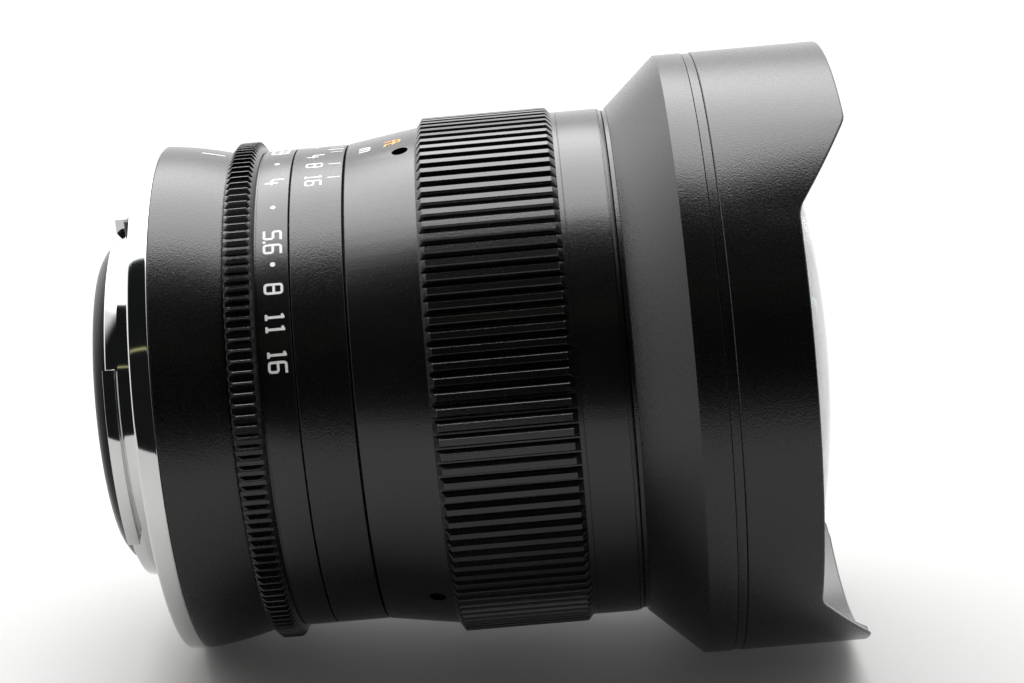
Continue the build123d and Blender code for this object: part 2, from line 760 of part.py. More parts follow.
front_cell_radius = optics_front_bore_radius - thread_gap

with BuildPart() as front_cell:
    turned((optics_front_step + seat_gap, third_ledge_radius), (third_seat - seat_gap, third_ledge_radius),
           (third_seat - seat_gap, third_rim_radius + seat_gap), (second_seat - seat_gap, third_rim_radius + seat_gap),
           (second_seat - seat_gap, second_rim_radius + seat_gap), (front_cell_front, second_rim_radius + seat_gap),
           (front_cell_front, front_cell_radius), (optics_front_step + seat_gap, front_cell_radius))
save(front_cell.part, "front_cell")

with BuildPart() as front_cell_ring:
    ring(front_cell_front - front_cell_ring_width, front_cell_front, front_cell_ring_inner_radius,
         second_rim_radius)
save(front_cell_ring.part, "front_cell_ring")

with BuildPart() as front_cell_spacer:
    ring(third_seat + rim_length(3, third_rim_radius) + seat_gap, second_seat - seat_gap, spacer_inner_radius,
         third_rim_radius)
save(front_cell_spacer.part, "front_cell_spacer")

# Middle cell with the cemented pair in front of the iris

fourth_seat = middle_seat + rim_length(5, middle_rim_radius) + cement_gap
middle_cell_radius = middle_rim_radius + middle_cell_wall

with BuildPart() as middle_cell:
    turned((middle_web_front, middle_web_bore_radius), (middle_seat - seat_gap, middle_web_bore_radius),
           (middle_seat - seat_gap, middle_rim_radius + seat_gap), (middle_cell_front, middle_rim_radius + seat_gap),
           (middle_cell_front, middle_cell_radius), (middle_web_front, middle_cell_radius))
save(middle_cell.part, "middle_cell")

with BuildPart() as middle_cell_ring:
    ring(fourth_seat + rim_length(4, middle_rim_radius) + seat_gap, middle_ring_front, middle_ring_inner_radius,
         middle_rim_radius)
save(middle_cell_ring.part, "middle_cell_ring")

# Rear cell with three cemented pairs behind the iris, filled from the mount side

seventh_seat = sixth_front_seat - rim_length(6, sixth_rim_radius) - rim_length(7, sixth_rim_radius) - cement_gap
ninth_seat = eighth_front_seat - rim_length(8, eighth_rim_radius) - rim_length(9, eighth_rim_radius) - cement_gap
eleventh_seat = tenth_front_seat - rim_length(10, tenth_rim_radius) - rim_length(11, tenth_rim_radius) - cement_gap

with BuildPart() as rear_cell:
    turned((rear_cell_rear, tenth_rim_radius + seat_gap), (tenth_front_seat + seat_gap, tenth_rim_radius + seat_gap),
           (tenth_front_seat + seat_gap, eighth_rim_radius + seat_gap),
           (eighth_front_seat + seat_gap, eighth_rim_radius + seat_gap),
           (eighth_front_seat + seat_gap, sixth_rim_radius + seat_gap),
           (sixth_front_seat + seat_gap, sixth_rim_radius + seat_gap),
           (sixth_front_seat + seat_gap, rear_cell_lip_radius), (rear_cell_front, rear_cell_lip_radius),
           (rear_cell_front, rear_cell_radius), (optics_rear, rear_cell_radius), (optics_rear, rear_flange_radius),
           (optics_rear - rear_flange_thickness, rear_flange_radius),
           (optics_rear - rear_flange_thickness, rear_cell_radius), (rear_cell_rear, rear_cell_radius))
    axial_pins(optics_rear - rear_flange_thickness, optics_rear, rear_screw_angles, rear_screw_place_radius,
               rear_screw_radius + thread_gap, mode=Mode.SUBTRACT)
save(rear_cell.part, "rear_cell")

with BuildPart() as rear_cell_screws:
    axial_pins(optics_rear - rear_flange_thickness - rear_screw_head_height, optics_rear - rear_flange_thickness,
               rear_screw_angles, rear_screw_place_radius, rear_screw_head_radius)
    axial_pins(optics_rear - rear_flange_thickness, optics_rear + rear_screw_depth - seat_gap, rear_screw_angles,
               rear_screw_place_radius, rear_screw_radius)
save(rear_cell_screws.part, "rear_cell_screws")

with BuildPart() as rear_cell_spacer_1:
    ring(eighth_front_seat + seat_gap, seventh_seat - seat_gap, sixth_rim_radius - rear_spacer_wall, sixth_rim_radius)
save(rear_cell_spacer_1.part, "rear_cell_spacer_1")

with BuildPart() as rear_cell_spacer_2:
    ring(tenth_front_seat + seat_gap, ninth_seat - seat_gap, eighth_rim_radius - rear_spacer_wall, eighth_rim_radius)
save(rear_cell_spacer_2.part, "rear_cell_spacer_2")

with BuildPart() as rear_cell_ring:
    ring(rear_ring_rear, eleventh_seat - rear_ring_gap, rear_ring_inner_radius, tenth_rim_radius)
save(rear_cell_ring.part, "rear_cell_ring")

# Lens elements

element(1, front_rim_radius, front_seat)
element(2, second_rim_radius, second_seat)
element(3, third_rim_radius, third_seat)
element(4, middle_rim_radius, fourth_seat)
element(5, middle_rim_radius, middle_seat)
element(6, sixth_rim_radius, sixth_front_seat - rim_length(6, sixth_rim_radius))
element(7, sixth_rim_radius, seventh_seat)
element(8, eighth_rim_radius, eighth_front_seat - rim_length(8, eighth_rim_radius))
element(9, eighth_rim_radius, ninth_seat)
element(10, tenth_rim_radius, tenth_front_seat - rim_length(10, tenth_rim_radius))
element(11, tenth_rim_radius, eleventh_seat)

# Iris: seven blades turn on pivots in the housing plate, and their drive arms end over the rotor's curved slots

blade_travel = 2 * math.degrees(math.asin((iris_band_inner_radius - iris_closed_radius) / (2 * iris_pivot_radius)))
drive_first_angle = 90 + blade_travel / 2
blade_angles = shares_of_turn(0, iris_blade_count)


def drive_pin_place(turn_share):
    """Radius and angle of a drive pin, from its blade's pivot line, when a share of the travel is used."""
    angle = math.radians(drive_first_angle - turn_share * blade_travel)
    along = iris_pivot_radius + iris_drive_arm_length * math.cos(angle)
    beside = iris_drive_arm_length * math.sin(angle)
    return math.hypot(along, beside), math.degrees(math.atan2(beside, along))


drive_open_radius, drive_open_angle = drive_pin_place(0)

with BuildPart() as iris_housing:
    ring(iris_plate_rear, iris_plate_front, iris_stop_radius, iris_housing_radius)
    ring(iris_cover_front, iris_plate_rear, iris_rim_bore_radius, iris_housing_radius)
    sector(rotor_rear - link_window_gap / 2, rotor_front + link_window_gap / 2, iris_rim_bore_radius - overrun / 2,
           iris_housing_radius + overrun, link_rest_angle - aperture_travel - iris_window_margin_angle,
           link_rest_angle + iris_window_margin_angle, mode=Mode.SUBTRACT)
    axial_pins(iris_plate_rear, iris_plate_front, blade_angles, iris_pivot_radius,
               iris_pivot_pin_radius + pin_gap, mode=Mode.SUBTRACT)
save(iris_housing.part, "iris_housing")

with BuildPart() as iris_cover:
    ring(iris_cover_rear, iris_cover_front, iris_cover_bore_radius, iris_housing_radius)
save(iris_cover.part, "iris_cover")

with BuildPart() as iris_rotor:
    ring(rotor_rear, rotor_front, rotor_bore_radius, rotor_radius)
    with BuildSketch(across(rotor_rear)):
        with PolarLocations(0, 1, start_angle=link_rest_angle):
            with Locations(((rotor_arm_radius + rotor_radius) / 2 - overrun / 2, 0)):
                Rectangle(rotor_arm_radius - rotor_radius + overrun, rotor_arm_width)
    extrude(amount=rotor_front - rotor_rear)
    with BuildSketch(across(rotor_rear)):
        with PolarLocations(0, 1, start_angle=link_rest_angle):
            with Locations((rotor_fork_bottom_radius + (rotor_arm_radius - rotor_fork_bottom_radius + overrun) / 2, 0)):
                Rectangle(rotor_arm_radius - rotor_fork_bottom_radius + overrun, link_width + 2 * pin_gap)
    extrude(amount=rotor_front - rotor_rear, mode=Mode.SUBTRACT)
    slot_points = []
    for step in range(slot_steps + 1):
        drive_radius, drive_angle = drive_pin_place(step / slot_steps)
        slot_points.append(polar(drive_radius, drive_angle + aperture_travel * step / slot_steps))
    with BuildSketch() as drive_slot:
        with BuildLine():
            Spline(*slot_points)
        trace(line_width=2 * (iris_drive_pin_radius + pin_gap))
        with Locations(slot_points[0], slot_points[-1]):
            Circle(iris_drive_pin_radius + pin_gap)
    with BuildSketch(across(rotor_rear)) as drive_slots:
        with PolarLocations(0, iris_blade_count):
            add(drive_slot.sketch)
    extrude(amount=rotor_front - rotor_rear, mode=Mode.SUBTRACT)
save(iris_rotor.part, "iris_rotor")

for index, blade_angle in enumerate(blade_angles):
    layer = iris_first_layer_station + index * iris_layer_spacing_length
    pivot = polar(iris_pivot_radius, blade_angle)
    drive = polar(drive_open_radius, blade_angle + drive_open_angle)
    with BuildPart() as iris_blade:
        sector(layer, layer + iris_blade_thickness, iris_band_inner_radius, iris_band_outer_radius,
               blade_angle - iris_band_angle, blade_angle)
        with BuildSketch(across(layer)):
            for first, second in ((polar(iris_band_middle_radius, blade_angle), pivot), (pivot, drive)):
                middle = ((first[0] + second[0]) / 2, (first[1] + second[1]) / 2)
                way = math.degrees(math.atan2(second[1] - first[1], second[0] - first[0]))
                with Locations(middle):
                    SlotCenterToCenter(math.dist(first, second), iris_tab_width, rotation=way)
        extrude(amount=iris_blade_thickness)
        axial_pins(layer, iris_plate_front - seat_gap, [blade_angle], iris_pivot_radius, iris_pivot_pin_radius)
    save(iris_blade.part, f"iris_blade_{index + 1}")
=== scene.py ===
"""Dresses the packed fisheye lens: turned and ribbed surfaces, painted scales, coated glass, and a pale studio."""

import json
import math
from contextlib import contextmanager

import bmesh
import bpy
import numpy as np
from bpy.props import FloatProperty, FloatVectorProperty, IntProperty, PointerProperty
from mathutils import Matrix, Vector


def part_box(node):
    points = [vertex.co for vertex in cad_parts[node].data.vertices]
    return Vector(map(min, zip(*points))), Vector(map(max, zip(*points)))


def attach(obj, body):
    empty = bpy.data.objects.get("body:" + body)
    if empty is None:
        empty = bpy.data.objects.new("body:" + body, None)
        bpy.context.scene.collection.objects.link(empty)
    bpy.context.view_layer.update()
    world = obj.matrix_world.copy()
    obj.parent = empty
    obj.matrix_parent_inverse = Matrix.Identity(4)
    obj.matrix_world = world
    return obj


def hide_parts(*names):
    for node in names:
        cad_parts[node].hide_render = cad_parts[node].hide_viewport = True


bl_info = {
    "name": "Fisheye lens dresser",
    "version": (1, 0, 0),
    "blender": (4, 5, 0),
    "location": "View3D > Sidebar > Lens",
    "description": "Builds the visible surfaces, scales and studio of a fisheye lens round its packed frame",
    "category": "Object",
}

MM = 0.001
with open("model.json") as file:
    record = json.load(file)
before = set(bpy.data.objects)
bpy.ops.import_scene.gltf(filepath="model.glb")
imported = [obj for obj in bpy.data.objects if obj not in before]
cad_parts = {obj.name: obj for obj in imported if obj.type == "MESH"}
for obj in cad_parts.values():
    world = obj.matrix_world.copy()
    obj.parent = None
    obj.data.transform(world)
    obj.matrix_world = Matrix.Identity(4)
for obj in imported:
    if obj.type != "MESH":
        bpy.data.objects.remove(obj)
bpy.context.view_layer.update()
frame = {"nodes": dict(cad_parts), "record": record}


def span(node):
    """First and last station of a node along the axis, in millimetres."""
    low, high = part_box(node)
    return low.x / MM, high.x / MM


def reach(node):
    """Largest radius of a node, in millimetres, read from its highest point."""
    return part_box(node)[1].z / MM


# Stations and radii read from the frame, in millimetres
FLANGE_FRONT = span("rear_barrel")[0]
FLANGE_RADIUS = reach("bayonet_mount")
TUBE_REAR = span("bayonet_mount")[0]
BAFFLE_REAR, BAFFLE_FRONT = span("rear_baffle")
BAFFLE_RADIUS = reach("rear_baffle")
APERTURE_REAR, APERTURE_FRONT = span("aperture_ring")
TOOTH_RADIUS = reach("aperture_ring")
DEPTH_REAR, DEPTH_FRONT = span("depth_scale_ring")
BAND_RADIUS = reach("depth_scale_ring")
FOCUS_REAR, FOCUS_FRONT = span("focus_ring")
RIB_RADIUS = reach("focus_ring")
HOUSING_REAR, HOUSING_NECK_FRONT = span("front_housing")
HOOD_RADIUS = reach("front_housing")
SEAM_REAR, SEAM_FRONT = span("hood_seam_ring")
HOOD_REAR, HOOD_TIP = span("petal_hood")
GLASS_REAR, GLASS_APEX = span("lens_element_1")
GLASS_RADIUS = reach("lens_element_1")
RING_REAR, RING_FRONT = span("front_retaining_ring")
RING_RADIUS = reach("front_retaining_ring")

# Sizes that the frame's boxes don't give, in millimetres and degrees
CUT = 1.0
TUBE_SHOULDER = 21.8
TUBE_SHOULDER_REAR = -2.95
TUBE_THROAT = 20.0
TUBE_STEP = 0.3
MOUNT_ROUND = 0.3
LUG_RADIUS, LUG_THICKNESS, LUG_ROOT = 23.1, 1.4, 0.8
LUG_STARTS, LUG_SPAN = (65, 185, 305), 56
CONTACT_INNER, CONTACT_RELIEF = 23.9, 0.3
SEAT_ANGLES = (45, 135, 225, 315)
SEAT_PLACE, SEAT_RADIUS, SEAT_FLOOR = 27.3, 1.88, 1.15
LOCK_PLACE, LOCK_RADIUS, LOCK_FLOOR, LOCK_ANGLE = 27.2, 1.3, 2.2, 262
BAFFLE_ROUND, BAFFLE_BORE, BAFFLE_PLATE = 5.0, 16.6, 0.6
WINDOW_WIDE, WINDOW_HIGH, WINDOW_ROUND = 12.0, 8.5, 2.0
BARREL_BORE = 24.9
BARREL_FRONT, BARREL_FRONT_RADIUS = APERTURE_REAR - 0.15, 29.42
BARREL_REAR = FLANGE_FRONT + 0.15
BARREL_MID = (6.6, 30.4)
LINK_REAR, LINK_FRONT, LINK_START, LINK_END = 14.3, 17.2, 142, 219
JOURNAL = 27.9
TOOTH_FRONT, TOOTH_BEVEL = 13.5, 0.7
TOOTH_DEPTH, TOOTH_TOP, TOOTH_BOTTOM = 0.6, 0.97, 0.5
BAND_START = 14.4
FOCUS_REAR_RADIUS = 29.35
CONE_FRONT, CONE_RADIUS = 33.0, 30.63
RIB_FRONT, RIB_REAR_BEVEL, RIB_FRONT_BEVEL = 49.3, 0.72, 0.65
RIB_DEPTH, RIB_TOP, RIB_BOTTOM = 0.8, 0.84, 0.2
GRUB_PLACE, GRUB_ANGLE, GRUB_RADIUS = 31.2, 13, 0.98
SLEEVE_RADIUS, SLEEVE_LIP, SLEEVE_LIP_LENGTH = 31.0, 25.3, 0.7
LINE_WIDTH, LINE_DEPTH = 0.06, 0.06
HOUSING_REAR_RADIUS, HOUSING_SPIGOT_INSET = 31.0, 0.3
HOUSING_SHOULDER, HOUSING_CREASE = 56.0, 62.35
HOUSING_FRONT = SEAM_REAR - 0.06
HOUSING_BORE, HOUSING_BORE_LENGTH, HOUSING_CHAMBER = 24.65, 2.6, 30.6
SEAM_INSET = 0.1
SEAT_GAP = 0.03
HOOD_WALL, HOOD_RIM = 1.4, 0.25
HOOD_SIDE_EDGE, HOOD_VALLEY, HOOD_TIP_HEIGHT = 75.4, 23.2, 31.2
HOOD_VALLEY_ROUND, HOOD_TIP_ROUND = 2.6, 1.4
RING_LIP, RING_LIP_LENGTH, NOTCH_RADIUS, NOTCH_DEPTH = 0.7, 0.4, 0.7, 0.3

# Curves and edges of the front glass, as shares of its radius
DOME_CURVE, BOWL_CURVE = 2.976 * GLASS_RADIUS, 0.952 * GLASS_RADIUS
DOME_EDGE, BOWL_EDGE, GLASS_SHOULDER = 0.98 * GLASS_RADIUS, 0.685 * GLASS_RADIUS, 0.237 * GLASS_RADIUS

# Columns of the turned pieces, the hood and the cutters, and the angles in degrees from which an edge is sharp
COLUMNS, HOOD_COLUMNS, CUTTER_COLUMNS = 288, 1440, 40
SHARP, INNER_SHARP = 32, 30
SECTOR_ROUND = 0.05
COLOUR = {"subtype": "COLOR", "size": 3, "min": 0.0, "max": 1.0}


class LensSettings(bpy.types.PropertyGroup):
    """Sizes and colours that a user would change."""
    rib_count: IntProperty(name="Focus ribs", description="Ribs round the focus ring", default=116, min=12)
    tooth_count: IntProperty(name="Aperture teeth", description="Teeth round the aperture ring", default=156,
                             min=12)
    edge_round: FloatProperty(name="Edge rounding", description="Rounding of the turned edges",
                              default=0.12 * MM, min=0.0, unit="LENGTH")
    paint_height: FloatProperty(name="Paint height", description="How far the painted marks stand proud",
                                default=0.012 * MM, min=0.0, unit="LENGTH")
    black: FloatVectorProperty(name="Black finish", description="Colour of the anodised body",
                               default=(0.0016, 0.0016, 0.0018), **COLOUR)
    white_paint: FloatVectorProperty(name="White paint", description="Colour of the white scales",
                                     default=(0.78, 0.78, 0.76), **COLOUR)
    orange_paint: FloatVectorProperty(name="Orange paint", description="Colour of the second distance scale",
                                      default=(0.80, 0.32, 0.03), **COLOUR)
    floor: FloatVectorProperty(name="Floor", description="Colour of the floor",
                               default=(0.355, 0.355, 0.351), **COLOUR)


# Surfaces

def rounded(corners, radius, steps=4, closed=True):
    """Outline with each corner replaced by an arc: its ends lie on both sides at the same way from the corner,
    and points between them follow the circle that touches both sides. A corner may carry its own radius."""
    points = []
    count = len(corners)
    for i, corner in enumerate(corners):
        here = np.array(corner[:2], float)
        size = corner[2] if len(corner) > 2 else radius
        if not closed and i in (0, count - 1):
            points.append(here)
            continue
        before = np.array(corners[i - 1][:2], float) - here
        after = np.array(corners[(i + 1) % count][:2], float) - here
        long_before, long_after = np.linalg.norm(before), np.linalg.norm(after)
        before, after = before / long_before, after / long_after
        half = math.acos(float(np.clip(before @ after, -1, 1))) / 2
        size = min(size, 0.45 * min(long_before, long_after) * math.tan(half))
        if size < 1e-4 or half > math.radians(88):
            points.append(here)
            continue
        inward = (before + after) / np.linalg.norm(before + after)
        centre = here + inward * size / math.sin(half)
        first = here + before * size / math.tan(half) - centre
        last = here + after * size / math.tan(half) - centre
        turn = math.atan2(first[0] * last[1] - first[1] * last[0], first @ last)
        angle = np.linspace(0, turn, steps + 1)[:, None]
        across = np.array([-first[1], first[0]])
        points.extend(centre + first * np.cos(angle) + across * np.sin(angle))
    return np.array(points)


def arc_through(first, middle, last, steps):
    """Points on the circle through three points, found from the two lines that halve its chords."""
    a, b, c = (np.array(point, float) for point in (first, middle, last))
    sides = 2 * np.array([b - a, c - a])
    centre = np.linalg.solve(sides, np.array([b @ b - a @ a, c @ c - a @ a]))
    start, end = (math.atan2(*(point - centre)[::-1]) for point in (a, c))
    angle = np.linspace(start, end, steps)
    return centre + np.linalg.norm(a - centre) * np.stack([np.cos(angle), np.sin(angle)], 1)


def round_axis(station, radius, angle):
    """Points in metres at a station, a radius and an angle, which runs from the top to the near side."""
    return np.stack([station + 0 * angle, -radius * np.sin(angle), radius * np.cos(angle)], -1) * MM


def turned_grid(outline, angles):
    """Outline of stations and radii carried round the axis."""
    return round_axis(outline[:, :1], outline[:, 1:2], angles)


def full_turn(columns=COLUMNS):
    """Angles of equally spaced columns round the axis."""
    return np.arange(columns)[None, :] * 2 * math.pi / columns


def smooth(mesh, sharp):
    """Smooth shading, but for edges sharper than an angle in degrees."""
    mesh.shade_smooth()
    mesh.set_sharp_from_angle(angle=math.radians(sharp))


def add_object(name, data):
    """New object in the scene."""
    item = bpy.data.objects.new(name, data)
    bpy.context.scene.collection.objects.link(item)
    return item


@contextmanager
def editing(mesh):
    """Opens a mesh for bmesh work and writes it back."""
    work = bmesh.new()
    work.from_mesh(mesh)
    yield work
    work.to_mesh(mesh)
    work.free()


def make_piece(name, vertices, faces, sharp=SHARP):
    """Mesh object from vertices and faces, merged at its poles, facing outwards and smooth but for sharp edges."""
    mesh = bpy.data.meshes.new(name)
    mesh.from_pydata(vertices.tolist(), [], faces)
    with editing(mesh) as work:
        bmesh.ops.remove_doubles(work, verts=work.verts, dist=1e-8)
        bmesh.ops.dissolve_degenerate(work, edges=work.edges, dist=1e-9)
        if work.calc_volume(signed=True) < 0:
            bmesh.ops.reverse_faces(work, faces=work.faces)
    smooth(mesh, sharp)
    return add_object(name, mesh)


def grid_faces(rows, columns, close_rows, close_columns):
    """Quads of a grid whose vertices run row by row."""
    row = np.arange(rows if close_rows else rows - 1)
    column = np.arange(columns if close_columns else columns - 1)
    i, j = np.meshgrid(row, column, indexing="ij")
    below, beside = (i + 1) % rows, (j + 1) % columns
    quads = np.stack([i * columns + j, below * columns + j, below * columns + beside, i * columns + beside], 2)
    return quads.reshape(-1, 4).tolist()


def tube_faces(rows, columns, closed=False):
    """Faces of a tube whose sections are the grid's columns, flat at both ends unless it closes on itself."""
    faces = grid_faces(rows, columns, True, closed)
    if not closed:
        faces.append([row * columns for row in range(rows)])
        faces.append([row * columns + columns - 1 for row in reversed(range(rows))])
    return faces


def grid_piece(name, points, close_rows=True, sharp=SHARP):
    """Piece over a grid of points whose rows run round the axis."""
    rows, columns = points.shape[:2]
    return make_piece(name, points.reshape(-1, 3), grid_faces(rows, columns, close_rows, True), sharp)


def turned_piece(name, corners, radius=0.12, closed=True):
    """Ring or disc turned from an outline with rounded corners."""
    outline = rounded(corners, radius, closed=closed)
    return grid_piece(name, turned_grid(outline, full_turn()), closed)


def sector_piece(name, corners, first, last):
    """Part of a turned ring between two angles, in degrees, with a flat face at each end."""
    outline = rounded(corners, SECTOR_ROUND)
    points = turned_grid(outline, np.radians(np.linspace(first, last, CUTTER_COLUMNS))[None, :])
    return make_piece(name, points.reshape(-1, 3), tube_faces(len(outline), CUTTER_COLUMNS))


def prism_piece(name, first, last):
    """Solid between two like rings of points, in millimetres, closed by a flat face at each end."""
    count = len(first)
    faces = grid_faces(2, count, False, True)
    faces.append(list(range(count)))
    faces.append(list(reversed(range(count, 2 * count))))
    return make_piece(name, np.concatenate([first, last]) * MM, faces)


def pin_piece(name, start, end, radius):
    """Cylinder between two points, in millimetres: circles round the line at both ends."""
    start, end = np.array(start, float), np.array(end, float)
    way = (end - start) / np.linalg.norm(end - start)
    side = np.cross(way, (1, 0, 0)) if abs(way[0]) < 0.9 else np.cross(way, (0, 1, 0))
    side = side / np.linalg.norm(side)
    other = np.cross(way, side)
    angle = np.arange(CUTTER_COLUMNS)[:, None] * 2 * math.pi / CUTTER_COLUMNS
    circle = (side * np.cos(angle) + other * np.sin(angle)) * radius
    return prism_piece(name, start + circle, end + circle)


def place(station, radius, angle):
    """Point at a station, a radius and an angle in degrees from the top towards the near side."""
    turn = math.radians(angle)
    return station, -radius * math.sin(turn), radius * math.cos(turn)


def carve(piece, cutters, operation="DIFFERENCE", sharp=SHARP):
    """Cuts cutters from a piece or joins them to it, for good."""
    for cutter in cutters:
        change = piece.modifiers.new(cutter.name, "BOOLEAN")
        change.operation = operation
        change.solver = "EXACT"
        change.object = cutter
    bpy.context.view_layer.update()
    graph = bpy.context.evaluated_depsgraph_get()
    result = bpy.data.meshes.new_from_object(piece.evaluated_get(graph))
    piece.modifiers.clear()
    spare = piece.data
    piece.data = result
    result.name = piece.name
    bpy.data.meshes.remove(spare)
    for cutter in cutters:
        bpy.data.objects.remove(cutter)
    smooth(result, sharp)


def finish_piece(piece, key, body, nodes):
    """Gives a piece its finish, its body, the nodes that it stands for and its record slot."""
    piece.data.materials.clear()
    piece.data.materials.append(finish(key))
    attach(piece, body)
    if nodes:
        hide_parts(*nodes)


# Shader maths

class Value:
    """A socket of a shader tree. Python's operators add its Math nodes."""

    def __init__(self, tree, socket):
        self.tree = tree
        self.socket = socket

    def maths(self, operation, *values):
        """Math node of the same tree."""
        return self.tree.add("ShaderNodeMath", {"operation": operation}, *values)

    def __add__(self, other):
        return self.maths("ADD", self, other)

    def __radd__(self, other):
        return self.maths("ADD", other, self)

    def __sub__(self, other):
        return self.maths("SUBTRACT", self, other)

    def __rsub__(self, other):
        return self.maths("SUBTRACT", other, self)

    def __mul__(self, other):
        return self.maths("MULTIPLY", self, other)

    def __truediv__(self, other):
        return self.maths("DIVIDE", self, other)

    def __pow__(self, other):
        return self.maths("POWER", self, other)

    def between(self, low, high):
        """0 below the first value and 1 above the second, smooth between them."""
        return self.tree.add("ShaderNodeMapRange", {"interpolation_type": "SMOOTHSTEP"}, self, low, high)


class Shader:
    """Node tree of a material or a world."""

    def __init__(self, owner):
        owner.use_nodes = True
        self.nodes = owner.node_tree.nodes
        self.links = owner.node_tree.links
        self.nodes.clear()

    def add(self, kind, settings=None, *values, output=0, **named):
        """Any node: its settings first, then its sockets in order or by name."""
        node = self.nodes.new(kind)
        for key, value in (settings or {}).items():
            setattr(node, key, value)
        for i, value in enumerate(values):
            self.feed(node.inputs[i], value)
        for name, value in named.items():
            self.feed(node.inputs[name.replace("_", " ")], value)
        return Value(self, node.outputs[output])

    def feed(self, socket, value):
        """Links a value to a socket, or sets it. A colour of three numbers gets its fourth."""
        if isinstance(value, Value):
            self.links.new(value.socket, socket)
        elif value is not None:
            socket.default_value = (*value, 1) if isinstance(value, tuple) and len(value) == 3 else value

    def noise(self, vector, scale, detail=2.0):
        """Noise between 0 and 1 with a given fineness."""
        return self.add("ShaderNodeTexNoise", None, Vector=vector, Scale=scale, Detail=detail)

    def mix(self, factor, first, second):
        """Colour between two colours."""
        node = self.nodes.new("ShaderNodeMix")
        node.data_type = "RGBA"
        for socket, value in ((node.inputs[0], factor), (node.inputs[6], first), (node.inputs[7], second)):
            self.feed(socket, value)
        return Value(self, node.outputs[2])

    def lines(self, along, detail=2.0):
        """Noise along one number."""
        return self.add("ShaderNodeTexNoise", {"noise_dimensions": "1D"}, W=along, Scale=1.0, Detail=detail)

    def bump(self, strength, distance, height):
        """Normal raised and sunk by a height."""
        return self.add("ShaderNodeBump", None, Strength=strength, Distance=distance, Height=height)

    def split(self, vector):
        """Three numbers of a vector."""
        node = self.nodes.new("ShaderNodeSeparateXYZ")
        self.links.new(vector.socket, node.inputs[0])
        return [Value(self, socket) for socket in node.outputs]

    def principled(self, base, roughness, normal=None, **named):
        """Principled surface joined to the material's output."""
        shader = self.nodes.new("ShaderNodeBsdfPrincipled")
        named.update({"Base Color": base, "Roughness": roughness, "Normal": normal})
        for name, value in named.items():
            self.feed(shader.inputs[name.replace("_", " ")], value)
        output = self.nodes.new("ShaderNodeOutputMaterial")
        self.links.new(shader.outputs[0], output.inputs[0])


RIDGE_PITCH = 0.45 * MM


def new_finish(name):
    """Empty material, its shader, the object coordinates and their three numbers, in metres."""
    material = bpy.data.materials.new(name)
    tree = Shader(material)
    vector = tree.add("ShaderNodeTexCoord", output=3)
    return material, tree, vector, tree.split(vector)


def scaled(colour, factor):
    """Colour made lighter or darker, at most white."""
    return tuple(min(1.0, factor * part) for part in colour)


def black_anodised(name, base, grain=0.8, roughness=0.25, gloss=0.5):
    """Satin black anodised alloy: a fine blasted grain with paler specks, faint turning lines and uneven gloss."""
    material, tree, vector, (x, _, _) = new_finish(name)
    fine = tree.noise(vector, 5400.0, 1.0)
    cloudy = tree.noise(vector, 90.0, 3.0)
    turned = tree.lines(x * 9000.0)
    specks = fine.between(0.70, 0.80)
    bump = tree.bump(grain, 0.00003, fine + turned * 0.08)
    tint = tree.mix(cloudy * 0.4 + specks * 0.6, base, scaled(base, 3.0))
    tree.principled(tint, roughness + (cloudy - 0.5) * 0.05 + (fine - 0.5) * 0.16, bump, Specular_IOR_Level=gloss)
    return material


def bright_chrome():
    """Bright turned mount metal: concentric lathe lines, faint wipe marks and a warm tint."""
    material, tree, vector, (x, y, z) = new_finish("bright mount metal")
    radius = (y * y + z * z) ** 0.5
    lines = tree.lines((radius + x) * 14000.0, 3.0)
    wipes = tree.noise(vector, 160.0, 4.0)
    bump = tree.bump(0.12, 0.00001, lines)
    tint = tree.mix(wipes, (0.56, 0.56, 0.55), (0.66, 0.66, 0.65))
    tree.principled(tint, 0.03 + lines * 0.03 + wipes * 0.03, bump, Metallic=1.0)
    return material


def plain_metal(name, first, second, roughness):
    """Turned inner metal with lathe lines and uneven polish."""
    material, tree, vector, (x, y, z) = new_finish(name)
    radius = (y * y + z * z) ** 0.5
    lines = tree.lines((radius + x) * 6000.0)
    cloudy = tree.noise(vector, 240.0, 3.0)
    bump = tree.bump(0.25, 0.00001, lines)
    tree.principled(tree.mix(cloudy, first, second), roughness + lines * 0.12 + (cloudy - 0.5) * 0.1, bump,
                    Metallic=1.0)
    return material


def matt_black(name, base, ridges=0.0, roughness=0.62, gloss=0.5):
    """Matt black lining: soft mottling and, inside the cells, fine light-trapping ridges."""
    material, tree, vector, (x, _, _) = new_finish(name)
    fine = tree.noise(vector, 7000.0)
    cloudy = tree.noise(vector, 150.0, 3.0)
    wave = x.maths("SINE", x * (2 * math.pi / RIDGE_PITCH))
    bump = tree.bump(0.5, 0.00004, fine * 0.6 + wave * ridges)
    tint = tree.mix(cloudy, base, scaled(base, 1.9))
    tree.principled(tint, roughness + (fine - 0.5) * 0.15, bump, Specular_IOR_Level=gloss)
    return material


def paint(name, colour):
    """Filled paint of the engraved scales: slightly chalky and uneven."""
    material, tree, vector, _ = new_finish(name)
    chalk = tree.noise(vector, 3500.0, 3.0)
    bump = tree.bump(0.3, 0.00001, chalk)
    tree.principled(tree.mix(chalk, scaled(colour, 0.82), colour), 0.42 + chalk * 0.2, bump)
    return material


def coated_glass(name, tint, reflection, ior, coat=0.0):
    """Clear optical glass with a coloured anti-reflection coat and faint dust."""
    material, tree, vector, _ = new_finish(name)
    dust = tree.noise(vector, 2600.0, 3.0).between(0.74, 0.86)
    cloudy = tree.noise(vector, 60.0)
    tree.principled(tree.mix(cloudy, tint, scaled(tint, 0.97)), dust * 0.05, Transmission_Weight=1.0, IOR=ior,
                    Specular_Tint=reflection, Coat_Weight=coat, Coat_Roughness=0.03, Coat_IOR=1.9)
    return material


